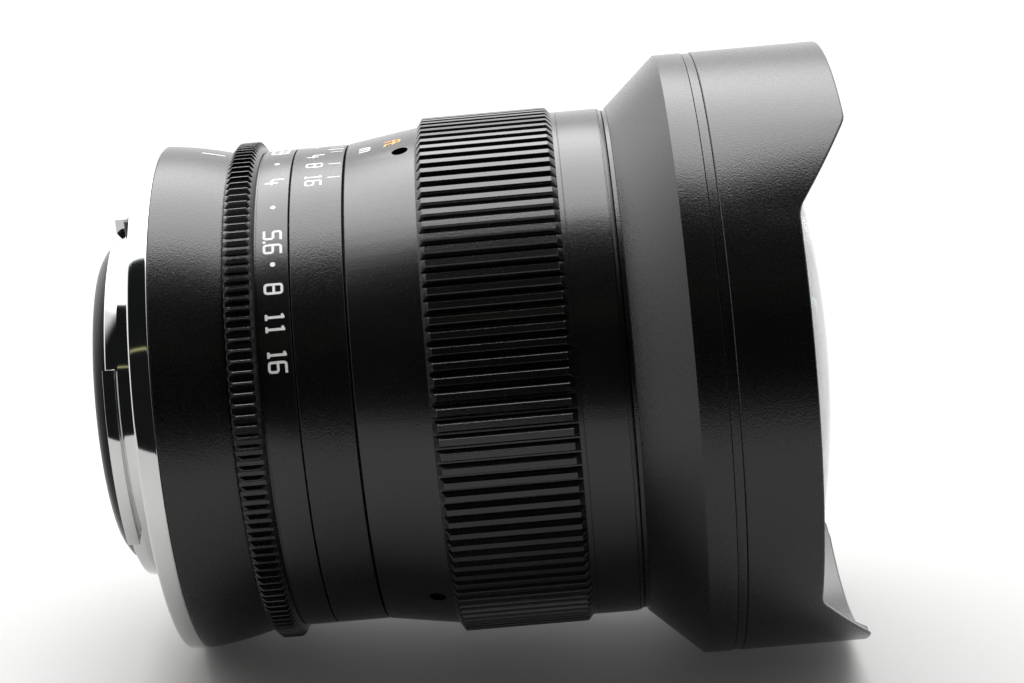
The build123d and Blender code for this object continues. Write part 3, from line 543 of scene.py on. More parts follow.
def floor_finish(colour):
    """Pale matt sweep with an almost even tone, lit a little from within."""
    material, tree, vector, _ = new_finish("pale floor")
    cloudy = tree.noise(vector, 6.0)
    tree.principled(tree.mix(cloudy, scaled(colour, 0.985), colour), 0.6, Emission_Color=(1.0, 1.0, 0.99),
                    Emission_Strength=0.03)
    return material


FINISHES = {}


def finish(key):
    """Material made once for each finish."""
    if not FINISHES:
        settings = bpy.context.scene.lens_settings
        black = tuple(settings.black)
        FINISHES.update({
            "body": black_anodised("satin black body", black),
            "ribs": black_anodised("satin black ribs", black, grain=0.4, roughness=0.24, gloss=0.55),
            "lining": matt_black("matt black lining", (0.004, 0.004, 0.0045)),
            "cells": matt_black("ridged black cells", (0.004, 0.004, 0.0045), ridges=0.6),
            "baffle": matt_black("moulded black baffle", (0.0015, 0.0015, 0.0016), roughness=0.24, gloss=0.14),
            "chrome": bright_chrome(),
            "steel": plain_metal("screw steel", (0.52, 0.51, 0.50), (0.66, 0.65, 0.63), 0.22),
            "dark steel": plain_metal("blackened steel", (0.035, 0.035, 0.038), (0.06, 0.06, 0.065), 0.3),
            "brass": plain_metal("turned brass", (0.50, 0.36, 0.15), (0.66, 0.50, 0.24), 0.26),
            "alloy": plain_metal("turned alloy", (0.48, 0.48, 0.49), (0.60, 0.60, 0.61), 0.28),
            "white": paint("white scale paint", tuple(settings.white_paint)),
            "orange": paint("orange scale paint", tuple(settings.orange_paint)),
            "front glass": coated_glass("front glass", (0.99, 0.96, 0.98), (0.50, 0.34, 0.50), 1.7, 0.05),
            "inner glass": coated_glass("inner glass", (0.97, 0.99, 0.98), (0.45, 0.70, 0.55), 1.55),
            "floor": floor_finish(tuple(settings.floor)),
        })
    return FINISHES[key]


def identifier(make):
    """Operator name of a make function."""
    return make.__name__.removeprefix("make_")


def lens_operator(make):
    """Operator class that makes one piece or group of like pieces. Its tooltip is the function's first words."""
    def execute(self, context):
        make(context.scene.lens_settings)
        return {"FINISHED"}
    return type(f"LENS_OT_{identifier(make)}", (bpy.types.Operator,), {
        "bl_idname": f"lens.{identifier(make)}", "bl_label": identifier(make).replace("_", " ").capitalize(),
        "__doc__": make.__doc__.split(":")[0], "execute": execute})


# Mount

def make_mount(settings):
    """Mount with its lugs: an outline carried round the axis, three sectors joined on, screw seats cut in."""
    rim = settings.edge_round / MM
    mount = turned_piece("bayonet_mount_turned", [
        (TUBE_REAR, TUBE_THROAT), (FLANGE_FRONT, TUBE_THROAT), (FLANGE_FRONT, FLANGE_RADIUS, MOUNT_ROUND),
        (0, FLANGE_RADIUS, MOUNT_ROUND), (0, CONTACT_INNER), (CONTACT_RELIEF, CONTACT_INNER),
        (CONTACT_RELIEF, TUBE_SHOULDER), (TUBE_SHOULDER_REAR, TUBE_SHOULDER, 0.2),
        (TUBE_REAR, TUBE_SHOULDER - TUBE_STEP, 0.2)], rim)
    root, lug_front = TUBE_SHOULDER - LUG_ROOT, TUBE_REAR + LUG_THICKNESS
    lug = [(TUBE_REAR, root), (TUBE_REAR, LUG_RADIUS), (lug_front, LUG_RADIUS), (lug_front, root)]
    lugs = [sector_piece(f"lug_{i}", lug, first, first + LUG_SPAN) for i, first in enumerate(LUG_STARTS)]
    carve(mount, lugs, "UNION")
    cutters = [pin_piece(f"seat_{angle}", place(-CUT, SEAT_PLACE, angle), place(SEAT_FLOOR, SEAT_PLACE, angle),
                         SEAT_RADIUS) for angle in SEAT_ANGLES]
    cutters.append(pin_piece("lock_hole", place(-CUT, LOCK_PLACE, LOCK_ANGLE),
                             place(LOCK_FLOOR, LOCK_PLACE, LOCK_ANGLE), LOCK_RADIUS))
    carve(mount, cutters)
    finish_piece(mount, "chrome", "fixed_barrel", ["bayonet_mount"])


def make_baffle(settings):
    """Rear baffle: a cup with a rounded rear rim carried round the axis, less a rounded rectangular window."""
    plate_front = BAFFLE_REAR + BAFFLE_PLATE
    baffle = turned_piece("rear_baffle_moulded", [
        (BAFFLE_REAR, 0), (BAFFLE_REAR, BAFFLE_RADIUS, BAFFLE_ROUND), (BAFFLE_FRONT, BAFFLE_RADIUS, 0.1),
        (BAFFLE_FRONT, BAFFLE_BORE, 0.1), (plate_front, BAFFLE_BORE, 0.3), (plate_front, 0)], 0.1, closed=False)
    corners = [(-WINDOW_WIDE, -WINDOW_HIGH), (WINDOW_WIDE, -WINDOW_HIGH), (WINDOW_WIDE, WINDOW_HIGH),
               (-WINDOW_WIDE, WINDOW_HIGH)]
    window = rounded(corners, WINDOW_ROUND, steps=8)
    ends = [np.column_stack([np.full(len(window), x), window]) for x in (BAFFLE_REAR - CUT, BAFFLE_REAR + 2 * CUT)]
    carve(baffle, [prism_piece("baffle_window", *ends)])
    finish_piece(baffle, "baffle", "fixed_barrel", ["rear_baffle"])


def barrel_arc(steps):
    """Points of the rear barrel's side: the circle through its three places."""
    return arc_through((BARREL_REAR, FLANGE_RADIUS), BARREL_MID, (BARREL_FRONT, BARREL_FRONT_RADIUS), steps)


def make_rear_barrel(settings):
    """Barrel behind the aperture ring: an arc through three points carried round the axis, less the window that
    the aperture link moves in."""
    arc = barrel_arc(24)
    outline = np.concatenate([
        rounded([(FLANGE_FRONT, BARREL_BORE), (FLANGE_FRONT, FLANGE_RADIUS, 0.12), tuple(arc[0])], 0.1,
                closed=False)[:-1],
        arc,
        rounded([tuple(arc[-1]), (BARREL_FRONT, JOURNAL), (DEPTH_REAR, JOURNAL), (DEPTH_REAR, BARREL_BORE)], 0.08,
                closed=False)[1:]])
    barrel = grid_piece("rear_barrel_turned", turned_grid(outline, full_turn()))
    inside, outside = BARREL_BORE - CUT, JOURNAL + CUT
    window = [(LINK_REAR, inside), (LINK_FRONT, inside), (LINK_FRONT, outside), (LINK_REAR, outside)]
    carve(barrel, [sector_piece("link_window", window, LINK_START, LINK_END)])
    finish_piece(barrel, "body", "fixed_barrel", ["rear_barrel"])


# Ribbed rings

BEVEL_ROWS, LEAST_SIDE = 5, 0.02
LAND_BEVEL, LAND_DROP = 0.07, 0.06


def ribbed_ring(name, corners, count, top, depth, top_width, bottom_width, first, last):
    """Turned ring with axial grooves. Across each groove the radius goes from the outline down a straight side to
    the floor. Where the outline falls below the top, on a bevel, the groove's edge moves in along its side by the
    same share of the depth, so that the groove ends as wide as its floor."""
    outline = rounded(corners, 0.1, steps=3)
    dense = [outline[0]]
    for start, end in zip(outline, np.roll(outline, -1, 0)):
        outside = min(start[1], end[1]) > top - 3 * depth and first <= (start[0] + end[0]) / 2 <= last
        steps = BEVEL_ROWS if outside and abs(start[1] - end[1]) > 0.3 * depth else 1
        dense.extend(start + (end - start) * step / steps for step in range(1, steps + 1))
    outline = np.array(dense[:-1])
    pitch = 2 * math.pi / count
    station, radius = outline[:, :1], outline[:, 1:2]
    floor = top - depth
    inside = (station >= first) & (station <= last)
    share = np.where(inside, np.clip((radius - floor) / depth, 0, 1), 0)
    bottom = bottom_width / 2 / top + 0 * share
    edge = bottom + (LEAST_SIDE + (top_width - bottom_width) * share) / 2 / top
    land = edge + LAND_BEVEL / top
    shape = np.hstack([0 * share - pitch / 2, -land, -edge, -bottom, 0 * share, bottom, edge, land])
    low = np.where(inside, np.minimum(radius, floor), radius)
    side = radius - LAND_DROP * share
    heights = np.hstack([radius, radius, side, low, low, low, side, radius])
    turns = (np.arange(count) * pitch)[None, :, None]
    angles = (turns + shape[:, None, :]).reshape(len(outline), -1)
    return grid_piece(name, round_axis(station, np.tile(heights, count), angles), sharp=24)


def make_aperture_ring(settings):
    """Aperture ring: plain band in front, teeth behind with grooves that run out on both bevels."""
    bore, shoulder = JOURNAL + 0.08, APERTURE_REAR + TOOTH_BEVEL
    line_rear, line_front, line_floor = BAND_START - 0.14, BAND_START + 0.06, BAND_RADIUS - 0.16
    ring = ribbed_ring("aperture_ring_toothed", [
        (APERTURE_REAR, bore), (APERTURE_REAR, TOOTH_RADIUS - TOOTH_BEVEL, 0.05), (shoulder, TOOTH_RADIUS, 0.15),
        (TOOTH_FRONT, TOOTH_RADIUS, 0.1), (line_rear - 0.04, BAND_RADIUS + 0.12, 0.05),
        (line_rear, line_floor, 0.02), (line_front, line_floor, 0.02), (line_front + 0.04, BAND_RADIUS, 0.03),
        (APERTURE_FRONT, BAND_RADIUS, 0.1), (APERTURE_FRONT, bore)],
        settings.tooth_count, TOOTH_RADIUS, TOOTH_DEPTH, TOOTH_TOP, TOOTH_BOTTOM,
        APERTURE_REAR - 0.01, line_rear - 0.06)
    finish_piece(ring, "ribs", "aperture_control", ["aperture_ring"])


def make_focus_ring(settings):
    """Focus ring: cone, ribs whose grooves run out on both bevels, and the plain sleeve with its front bevel."""
    bore, lip_rear = JOURNAL + 0.05, FOCUS_FRONT - SLEEVE_LIP_LENGTH
    line, line_floor = RIB_FRONT + 0.5, SLEEVE_RADIUS - LINE_DEPTH
    groove, groove_floor = FOCUS_FRONT - 0.62, SLEEVE_RADIUS - 0.2
    ring = ribbed_ring("focus_ring_ribbed", [
        (FOCUS_REAR, bore), (FOCUS_REAR, FOCUS_REAR_RADIUS, 0.12), (CONE_FRONT, CONE_RADIUS, 0.05),
        (CONE_FRONT + RIB_REAR_BEVEL, RIB_RADIUS, 0.12), (RIB_FRONT - RIB_FRONT_BEVEL, RIB_RADIUS, 0.12),
        (RIB_FRONT, SLEEVE_RADIUS, 0.03), (line, SLEEVE_RADIUS, 0.01), (line + 0.03, line_floor, 0.01),
        (line + 0.03 + LINE_WIDTH, line_floor, 0.01), (line + 0.06 + LINE_WIDTH, SLEEVE_RADIUS, 0.01),
        (groove, SLEEVE_RADIUS, 0.03), (groove + 0.03, groove_floor, 0.01), (groove + 0.14, groove_floor, 0.01),
        (groove + 0.17, SLEEVE_RADIUS - 0.02, 0.02), (FOCUS_FRONT, SLEEVE_RADIUS - 0.25, 0.06),
        (FOCUS_FRONT, SLEEVE_LIP, 0.05), (lip_rear, SLEEVE_LIP, 0.05), (lip_rear, bore, 0.05)],
        settings.rib_count, RIB_RADIUS, RIB_DEPTH, RIB_TOP, RIB_BOTTOM, CONE_FRONT - 0.01, RIB_FRONT + 0.01)
    carve(ring, [pin_piece(f"grub_{i}", place(GRUB_PLACE, bore - CUT, GRUB_ANGLE + 120 * i),
                           place(GRUB_PLACE, RIB_RADIUS, GRUB_ANGLE + 120 * i), GRUB_RADIUS) for i in range(3)],
          sharp=28)
    finish_piece(ring, "ribs", "focus_control", ["focus_ring"])


def make_depth_ring(settings):
    """Fixed band with the depth scale: a rectangle carried round the axis."""
    ring = turned_piece("depth_scale_ring_turned", [
        (DEPTH_REAR, JOURNAL + 0.05), (DEPTH_REAR, BAND_RADIUS, 0.12), (DEPTH_FRONT, BAND_RADIUS, 0.12),
        (DEPTH_FRONT, JOURNAL + 0.05)])
    finish_piece(ring, "body", "fixed_barrel", ["depth_scale_ring"])


# Front

def make_housing(settings):
    """Front housing and seam ring: their whole sections carried round the axis."""
    neck, seat = HOOD_RADIUS - HOOD_WALL - SEAT_GAP, GLASS_RADIUS + SEAT_GAP
    bore_front, chamber_front = HOUSING_REAR + HOUSING_BORE_LENGTH, GLASS_REAR - SEAT_GAP
    spigot = HOUSING_REAR_RADIUS - HOUSING_SPIGOT_INSET
    housing = turned_piece("front_housing_turned", [
        (HOUSING_REAR, HOUSING_BORE), (bore_front, HOUSING_BORE), (bore_front, HOUSING_CHAMBER),
        (chamber_front, HOUSING_CHAMBER), (chamber_front, seat), (HOUSING_NECK_FRONT, seat),
        (HOUSING_NECK_FRONT, neck), (HOUSING_FRONT, neck), (HOUSING_FRONT, HOOD_RADIUS, 0.05),
        (HOUSING_CREASE, HOOD_RADIUS, 0.06), (HOUSING_SHOULDER, HOUSING_REAR_RADIUS, 0.12),
        (HOUSING_SHOULDER, spigot), (HOUSING_REAR, spigot)], 0.05)
    finish_piece(housing, "body", "optics_unit", ["front_housing"])
    inner, outer = HOOD_RADIUS - HOOD_WALL, HOOD_RADIUS - SEAM_INSET
    seam = turned_piece("hood_seam_ring_turned", [
        (SEAM_REAR, inner), (SEAM_REAR, outer, 0.05), (SEAM_FRONT, outer, 0.05), (SEAM_FRONT, inner)])
    finish_piece(seam, "body", "optics_unit", ["hood_seam_ring"])


def make_hood(settings):
    """Petal hood: a tube whose front edge is the side view's outline, read at the height of each point. Sections
    run up the outside, round the edge and down the inside."""
    outer, inner = HOOD_RADIUS, HOOD_RADIUS - HOOD_WALL
    side = rounded([(HOOD_SIDE_EDGE, -CUT), (HOOD_SIDE_EDGE, HOOD_VALLEY, HOOD_VALLEY_ROUND),
                    (HOOD_TIP, HOOD_TIP_HEIGHT, HOOD_TIP_ROUND), (HOOD_TIP, HOOD_RADIUS + CUT)], 1, steps=14,
                   closed=False)
    angles = full_turn(HOOD_COLUMNS)[0]
    rim_angles = np.radians(np.linspace(0, 90, 5))

    def section(station, radius):
        return np.stack([station + 0 * angles, radius + 0 * angles])

    def rim(radius, outwards, angle):
        edge = np.interp(np.abs(radius * np.cos(angles)), side[:, 1], side[:, 0])
        return section(edge - HOOD_RIM + HOOD_RIM * math.sin(angle),
                       radius - outwards * (HOOD_RIM - HOOD_RIM * math.cos(angle)))

    sections = [section(HOOD_REAR, inner), section(HOOD_REAR, outer - 0.1), section(HOOD_REAR + 0.1, outer)]
    sections += [rim(outer, 1, angle) for angle in rim_angles]
    sections += [rim(inner, -1, angle) for angle in rim_angles[::-1]]
    grid = np.array(sections)
    hood = grid_piece("petal_hood_cut", round_axis(grid[:, 0], grid[:, 1], angles), sharp=40)
    finish_piece(hood, "body", "optics_unit", ["petal_hood"])


def make_front_ring(settings):
    """Retaining ring of the front glass: an outline carried round the axis, less two pins as spanner notches."""
    seat, lip, lip_rear = GLASS_RADIUS + SEAT_GAP, GLASS_RADIUS - RING_LIP, RING_FRONT - RING_LIP_LENGTH
    ring = turned_piece("front_retaining_ring_turned", [
        (RING_REAR, seat), (lip_rear, seat), (lip_rear, lip), (RING_FRONT, lip + 0.3, 0.05),
        (RING_FRONT, RING_RADIUS, 0.1), (RING_REAR, RING_RADIUS)], 0.05)
    middle = (seat + RING_RADIUS) / 2
    carve(ring, [pin_piece(f"notch_{side}", (RING_FRONT - NOTCH_DEPTH, side * middle, 0),
                           (RING_FRONT + CUT, side * middle, 0), NOTCH_RADIUS) for side in (-1, 1)])
    finish_piece(ring, "lining", "optics_unit", ["front_retaining_ring"])


def make_front_glass(settings):
    """Front element: a spherical dome in front and a deep spherical hollow behind, carried round the axis."""
    rim, shoulder = GLASS_RADIUS, GLASS_REAR + GLASS_SHOULDER
    across = np.linspace(0, 1, 40)[:, None]
    front, back = across * DOME_EDGE, (1 - across) * BOWL_EDGE
    dome = np.hstack([GLASS_APEX - DOME_CURVE + np.sqrt(DOME_CURVE ** 2 - front ** 2), front])
    depth = np.sqrt(BOWL_CURVE ** 2 - back ** 2) - math.sqrt(BOWL_CURVE ** 2 - BOWL_EDGE ** 2)
    bowl = np.hstack([GLASS_REAR + depth, back])
    side = [(shoulder, rim - 0.05), (shoulder - 0.1, rim), (GLASS_REAR + 0.1, rim), (GLASS_REAR, rim - 0.1)]
    outline = np.concatenate([dome, side, bowl])
    glass = grid_piece("front_glass_ground", turned_grid(outline, full_turn()), close_rows=False)
    finish_piece(glass, "front glass", "optics_unit", ["lens_element_1"])


# Inner pieces: merged, smooth copies of the CAD nodes

INNER = {
    "steel": ["mount_screws", "guide_screws", "focus_stop_screw", "detent_ball", "detent_spring", "aperture_link",
              "rear_cell_screws"],
    "dark steel": ["bayonet_stop_pin", "focus_grub_screws"] + [f"iris_blade_{k}" for k in range(1, 8)],
    "brass": ["cam_followers", "iris_rotor"],
    "alloy": ["guide_barrel"],
    "cells": ["optics_barrel", "front_cell", "middle_cell", "rear_cell"],
    "lining": ["focus_lock_ring", "focus_cam_sleeve", "front_cell_ring", "front_cell_spacer", "middle_cell_ring",
               "rear_cell_spacer_1", "rear_cell_spacer_2", "rear_cell_ring", "iris_housing", "iris_cover"],
    "inner glass": [f"lens_element_{n}" for n in range(2, 12)],
}


def make_inner_pieces(settings):
    """Smooth copies of the inner nodes: the node's triangles merged at shared corners, with their own finish."""
    bodies = {node: body for body, nodes in frame["record"]["behaviour"]["bodies"].items() for node in nodes}
    for key, names in INNER.items():
        for name in names:
            mesh = frame["nodes"][name].data.copy()
            with editing(mesh) as work:
                bmesh.ops.remove_doubles(work, verts=work.verts, dist=1e-7)
            smooth(mesh, INNER_SHARP)
            finish_piece(add_object(f"{name}_smooth", mesh), key, bodies[name], [name])


# Scales: stations and heights in millimetres, angles in degrees from the top to the near side

APERTURE_STATION, APERTURE_HEIGHT, APERTURE_DOTS = 16.4, 1.92, (9.2, 29, 45.8)
APERTURE_NUMBERS = (("2.8", -2.8), ("4", 18.9), ("5.6", 39.7), ("8", 51.9), ("11", 60), ("16", 68.4))
DEPTH_STATION, DEPTH_HEIGHT, DEPTH_INDEX, DEPTH_MARK, DEPTH_END = 20.95, 1.8, 22.4, 22.65, 24.0
DEPTH_NUMBERS = (("4", 2.9, 5.8), ("8", 12, 12.1), ("16", 19, 19.6))
BARREL_INDEX = (7.2, 9.6)
METRES_STATION, FEET_STATION, DISTANCE_HEIGHT = 27.2, 30.2, 1.75
METRES = (("m", 6.7), ("0.2", -13), ("0.3", -27), ("0.5", -43), ("1", -62), ("o", -88))
FEET = (("ft", 6.0), ("0.7", -13), ("1", -27), ("1.5", -43), ("3", -62), ("o", -88))
APERTURE_STROKE, DEPTH_STROKE, DISTANCE_STROKE = 0.3, 0.25, 0.28
INDEX_STROKE, MARK_STROKE, BARREL_STROKE = 0.3, 0.17, 0.34
PAINT_ROOT, DOT_SIZE = -0.02, 0.62

# Strokes of each sign, for a height of 1: one that ends where it starts is closed. The "o" stands for infinity.
WIDTH, GLYPH_ROUND = 0.56, 0.14
BOX = [(0, 0), (WIDTH, 0), (WIDTH, 1), (0, 1), (0, 0)]
GLYPHS = {
    "0": [BOX],
    "1": [[(0.20, 0), (0.40, 0)], [(0.30, 0), (0.30, 1)], [(0.18, 0.95), (0.30, 0.98)]],
    "2": [[(0, 1), (WIDTH, 1), (WIDTH, 0.52), (0, 0.52), (0, 0), (WIDTH, 0)]],
    "3": [[(0, 1), (WIDTH, 1), (WIDTH, 0), (0, 0)], [(0.2, 0.52), (WIDTH, 0.52)]],
    "4": [[(0, 1), (0, 0.34), (WIDTH, 0.34)], [(0.42, 0.62), (0.42, 0)]],
    "5": [[(WIDTH, 1), (0, 1), (0, 0.54), (WIDTH, 0.54), (WIDTH, 0), (0, 0)]],
    "6": [[(WIDTH, 1), (0, 1), (0, 0), (WIDTH, 0), (WIDTH, 0.52), (0.04, 0.52)]],
    "7": [[(0, 1), (WIDTH, 1), (0.22, 0)]],
    "8": [BOX, [(0, 0.52), (WIDTH, 0.52)]],
    ".": [[(0.0, 0.0), (0.02, 0.0)]],
    "m": [[(0, 0), (0, 0.62), (0.8, 0.62), (0.8, 0)], [(0.4, 0.6), (0.4, 0)]],
    "f": [[(0.1, 0), (0.1, 1), (0.42, 1)], [(0, 0.6), (0.36, 0.6)]],
    "t": [[(0.1, 0.95), (0.1, 0), (0.42, 0)], [(0, 0.6), (0.36, 0.6)]],
    "o": [[(0, 0.2), (0.5, 0.2), (0.5, 0.8), (0, 0.8), (0, 0.2)],
          [(0.5, 0.2), (1.0, 0.2), (1.0, 0.8), (0.5, 0.8), (0.5, 0.2)]],
}
ADVANCE = {"1": 0.74, ".": 0.24, "m": 1.15, "f": 0.55, "t": 0.62, "o": 1.3}
OTHER_ADVANCE = 0.79
LAST_WIDTH = {"1": 0.6, ".": 0.1, "m": 0.8, "f": 0.42, "t": 0.42, "o": 1.0}


def unit(ways):
    """Each way divided by its length."""
    return ways / np.linalg.norm(ways, axis=1, keepdims=True)


def stroke_solid(path, closed, width, radius_at, height):
    """Vertices and faces of a flat stroke laid on a turned surface. The path's sides are its points moved by half
    the width along the mean normal of both neighbours, and the solid stands a paint height above the surface."""
    path = np.array(path, float)
    if closed:
        ways = unit(np.roll(path, -1, 0) - path)
        before = np.roll(ways, 1, 0)
    else:
        steps = unit(np.diff(path, axis=0))
        path[0] -= steps[0] * width / 2
        path[-1] += steps[-1] * width / 2
        ways, before = np.vstack([steps, steps[-1:]]), np.vstack([steps[:1], steps])
    mean = unit(ways + before)
    normal = np.column_stack([-mean[:, 1], mean[:, 0]]) / np.sum(mean * ways, 1)[:, None]
    left, right = path + normal * width / 2, path - normal * width / 2
    rows = []
    for side, lift in ((left, PAINT_ROOT), (left, height), (right, height), (right, PAINT_ROOT)):
        surface = radius_at(side[:, 1])
        rows.append(round_axis(side[:, 1], surface + lift, side[:, 0] / surface))
    return np.concatenate(rows), tube_faces(4, len(path), closed)


def split_long(points, closed, longest=0.35):
    """Path with its long runs divided, so that strokes follow the curved surface."""
    points = np.array(points, float)
    ends = np.roll(points, -1, 0) if closed else points[1:]
    result = []
    for start, end in zip(points, ends):
        steps = max(1, int(np.linalg.norm(end - start) / longest))
        result.extend(start + (end - start) * step / steps for step in range(steps))
    if not closed:
        result.append(points[-1])
    return np.array(result)


def across(angle, station, radius_at):
    """Way round the surface from the top to an angle, in millimetres."""
    return math.radians(angle) * float(radius_at(np.array([station]))[0])


def write(text, station, angle, height, radius_at, stroke):
    """Strokes of a short number, centred at a station and an angle. It reads towards the near side, with its top
    to the front."""
    advances = [ADVANCE.get(letter, OTHER_ADVANCE) * height for letter in text]
    total = sum(advances[:-1]) + LAST_WIDTH.get(text[-1], WIDTH) * height
    middle = across(angle, station, radius_at)
    strokes = []
    at = -total / 2
    for letter, advance in zip(text, advances):
        for corners in GLYPHS[letter]:
            closed = corners[0] == corners[-1]
            path = [(x * height, y * height) for x, y in corners[:-1 if closed else None]]
            path = rounded(path, GLYPH_ROUND * height, closed=closed)
            path = split_long(path, closed)
            path = np.column_stack([middle + (path[:, 0] + at), station + (path[:, 1] - height / 2)])
            strokes.append((path, closed, stroke))
        at += advance
    return strokes


def write_row(numbers, station, height, radius_at, stroke):
    """Strokes of several numbers at one station."""
    return [part for text, angle in numbers for part in write(text, station, angle, height, radius_at, stroke)]


def dot(station, angle, radius_at):
    """Round dot: a closed stroke round a small circle, as wide as the circle."""
    turn = np.linspace(0, 2 * math.pi, 20, endpoint=False)
    path = np.column_stack([across(angle, station, radius_at) + DOT_SIZE / 4 * np.cos(turn),
                            station + DOT_SIZE / 4 * np.sin(turn)])
    return [(path, True, DOT_SIZE / 2 - 0.01)]


def line(first, last, angle, radius_at, stroke):
    """Straight mark along the axis."""
    middle = across(angle, (first + last) / 2, radius_at)
    return [(split_long([(middle, first), (middle, last)], False), False, stroke)]


def make_marks(name, strokes, radius_at, key, body, settings):
    """One piece from many strokes."""
    height = settings.paint_height / MM
    vertices, faces, first = [], [], 0
    for path, closed, width in strokes:
        points, quads = stroke_solid(path, closed, width, radius_at, height)
        vertices.append(points)
        faces.extend([[corner + first for corner in face] for face in quads])
        first += len(points)
    mesh = bpy.data.meshes.new(name)
    mesh.from_pydata(np.concatenate(vertices).tolist(), [], faces)
    with editing(mesh) as work:
        bmesh.ops.recalc_face_normals(work, faces=work.faces)
    finish_piece(add_object(name, mesh), key, body, [])


def band_radius(station):
    """Radius of the aperture band and the depth scale band."""
    return np.full_like(station, BAND_RADIUS)


def cone_radius(station):
    """Radius of the focus ring's cone, between its rear edge and the ribs."""
    share = (station - FOCUS_REAR) / (CONE_FRONT - FOCUS_REAR)
    return FOCUS_REAR_RADIUS + (CONE_RADIUS - FOCUS_REAR_RADIUS) * share


def barrel_radius(station):
    """Radius of the rear barrel, read between points of its side."""
    arc = barrel_arc(60)
    return np.interp(station, arc[:, 0], arc[:, 1])


def make_scales(settings):
    """Scales: aperture numbers, depth marks, index line and distance numbers, as strokes laid on the rings."""
    aperture = write_row(APERTURE_NUMBERS, APERTURE_STATION, APERTURE_HEIGHT, band_radius, APERTURE_STROKE)
    for angle in APERTURE_DOTS:
        aperture += dot(APERTURE_STATION, angle, band_radius)
    make_marks("aperture_scale", aperture, band_radius, "white", "aperture_control", settings)
    depth = line(DEPTH_INDEX, DEPTH_END, 0, band_radius, INDEX_STROKE)
    for text, mark, number in DEPTH_NUMBERS:
        for side in (-1, 1):
            depth += line(DEPTH_MARK, DEPTH_END, side * mark, band_radius, MARK_STROKE)
            depth += write(text, DEPTH_STATION, side * number, DEPTH_HEIGHT, band_radius, DEPTH_STROKE)
    make_marks("depth_scale", depth, band_radius, "white", "fixed_barrel", settings)
    index = line(*BARREL_INDEX, 0, barrel_radius, BARREL_STROKE)
    make_marks("aperture_index", index, barrel_radius, "white", "fixed_barrel", settings)
    metres = write_row(METRES, METRES_STATION, DISTANCE_HEIGHT, cone_radius, DISTANCE_STROKE)
    make_marks("distance_scale_metres", metres, cone_radius, "white", "focus_control", settings)
    feet = write_row(FEET, FEET_STATION, DISTANCE_HEIGHT, cone_radius, DISTANCE_STROKE)
    make_marks("distance_scale_feet", feet, cone_radius, "orange", "focus_control", settings)


# Studio

CAMERA_PLACE = (46.96, 289.1)
CAMERA_LEVEL = 15.5
CAMERA_YAW, CAMERA_PITCH, CAMERA_ROLL = -0.943, 0.656, -5.027
FOCAL_PIXELS, PICTURE_WIDTH = 2333.0, 1024
REST_TILT = math.atan2(HOOD_RADIUS - FLANGE_RADIUS, HOUSING_CREASE)
FLOOR_SIZE, FLOOR_NEAR_EDGE, FLOOR_GAP = 3.0, -0.28, 0.0001
WHITE, ROOM_TINT, STRIP_TINT = (1.0, 1.0, 1.0), (0.9, 0.95, 1.0), (1.0, 1.0, 0.45)
WALL_GLOW, FAR_GLOW, OVERHEAD_GLOW, LEFT_GLOW = 1.15, 0.35, 6.0, 1.4
ROOM_GLOW, STRIP_GLOW = 0.012, 0.5


def make_camera():
    """Camera fitted to the outline: it looks across the axis from the near side, raised above its level."""
    yaw, pitch, roll = (math.radians(angle) for angle in (CAMERA_YAW, CAMERA_PITCH, CAMERA_ROLL))
    forward = Vector((math.sin(yaw) * math.cos(pitch), math.cos(yaw) * math.cos(pitch), math.sin(pitch)))
    right = Vector((math.cos(yaw), -math.sin(yaw), 0))
    up = right.cross(forward)
    right, up = (math.cos(roll) * right + math.sin(roll) * up, math.cos(roll) * up - math.sin(roll) * right)
    turn = Matrix.Rotation(-math.radians(CAMERA_LEVEL), 3, "X")
    eye = turn @ Vector((CAMERA_PLACE[0], -CAMERA_PLACE[1], 0)) * MM
    right, up, back = turn @ right, turn @ up, turn @ -forward
    data = bpy.data.cameras.new("camera")
    data.sensor_width = 36
    data.lens = FOCAL_PIXELS * data.sensor_width / PICTURE_WIDTH
    data.clip_start, data.clip_end = 0.005, 20
    camera = add_object("camera", data)
    camera.matrix_world = Matrix((right, up, back)).transposed().to_4x4()
    camera.matrix_world.translation = eye
    bpy.context.scene.camera = camera


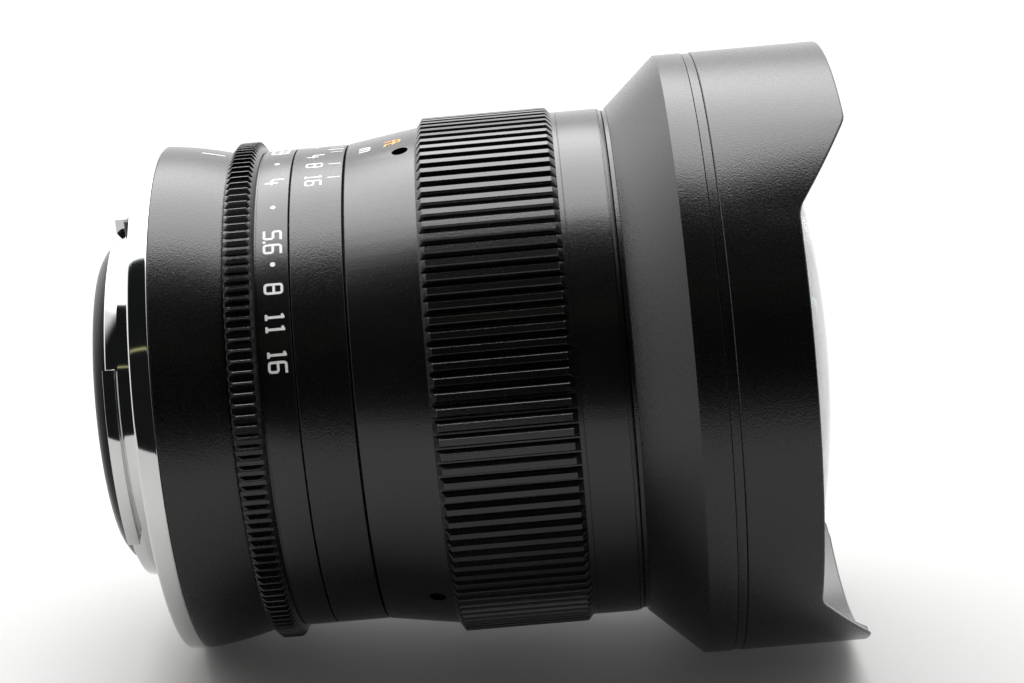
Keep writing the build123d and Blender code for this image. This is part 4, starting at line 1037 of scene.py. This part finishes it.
def make_world():
    """Studio round the lens: white all round, a strong light overhead, a weaker one at the left, and a dark room
    on the near side with one thin yellow strip. The camera itself sees plain white."""
    world = bpy.data.worlds.new("studio")
    bpy.context.scene.world = world
    tree = Shader(world)
    x, y, z = tree.split(tree.add("ShaderNodeTexCoord", output=0))
    level = (x * x + y * y + 1e-6) ** 0.5
    rise = z / (y * y + z * z + 1e-6) ** 0.5
    near = ((0 - y) / level).between(0.25, 0.55)
    dark = near * (1 - rise.between(0.984, 0.997))
    overhead = (z * 0.944 + y * 0.33).between(0.72, 0.93)
    strip = rise.between(0.606, 0.612) * (1 - rise.between(0.622, 0.628)) * (1 - (x * x).between(0.2, 0.3)) * near
    left = (0 - x).between(0.35, 0.7) * y.between(-0.2, 0.5) * z.between(0.05, 0.4)
    walls = y.between(0.0, 0.6) * FAR_GLOW + WALL_GLOW + overhead * OVERHEAD_GLOW + left * LEFT_GLOW
    strength = (1 - dark) * walls + dark * ROOM_GLOW + strip * STRIP_GLOW
    pale = tree.add("ShaderNodeLightPath")
    tint = tree.mix(strip, tree.mix(dark, WHITE, ROOM_TINT), STRIP_TINT)
    background = tree.nodes.new("ShaderNodeBackground")
    tree.feed(background.inputs["Color"], tree.mix(pale, tint, WHITE))
    tree.feed(background.inputs["Strength"], strength * (1 - pale) + pale)
    output = tree.nodes.new("ShaderNodeOutputWorld")
    tree.links.new(background.outputs[0], output.inputs[0])


def make_stage(settings):
    """Camera, light and floor: the floor is tilted as the lens rests on flange and hood."""
    make_camera()
    make_world()
    size, near = FLOOR_SIZE, FLOOR_NEAR_EDGE
    corners = np.array([(-size, near), (size, near), (size, size), (-size, size)])
    height = -FLANGE_RADIUS * MM - FLOOR_GAP - math.tan(REST_TILT) * corners[:, 0]
    mesh = bpy.data.meshes.new("floor")
    mesh.from_pydata(np.column_stack([corners, height]).tolist(), [], [(0, 1, 2, 3)])
    floor = add_object("floor", mesh)
    mesh.materials.append(finish("floor"))
    bpy.context.scene.view_settings.view_transform = "Standard"


STEPS = [make_mount, make_baffle, make_rear_barrel, make_aperture_ring, make_depth_ring, make_focus_ring,
         make_housing, make_hood, make_front_ring, make_front_glass, make_inner_pieces, make_scales, make_stage]
OPERATORS = [lens_operator(make) for make in STEPS]


class LENS_PT_pieces(bpy.types.Panel):
    """Panel that lists the pieces of the lens."""
    bl_label = "Fisheye lens"
    bl_space_type = "VIEW_3D"
    bl_region_type = "UI"
    bl_category = "Lens"

    def draw(self, context):
        """One button for each step, above the sizes and colours."""
        for make in STEPS:
            self.layout.operator(f"lens.{identifier(make)}")
        settings = context.scene.lens_settings
        for name in LensSettings.__annotations__:
            self.layout.prop(settings, name)


CLASSES = [LensSettings, *OPERATORS, LENS_PT_pieces]


def register():
    """Add the settings, the operators and the panel."""
    for item in CLASSES:
        bpy.utils.register_class(item)
    bpy.types.Scene.lens_settings = PointerProperty(type=LensSettings)


def unregister():
    """Take them away again."""
    del bpy.types.Scene.lens_settings
    for item in reversed(CLASSES):
        bpy.utils.unregister_class(item)


def main():
    """Make the whole lens and write both boxes."""
    register()
    for make in STEPS:
        getattr(bpy.ops.lens, identifier(make))()


if __name__ == "__main__":
    main()
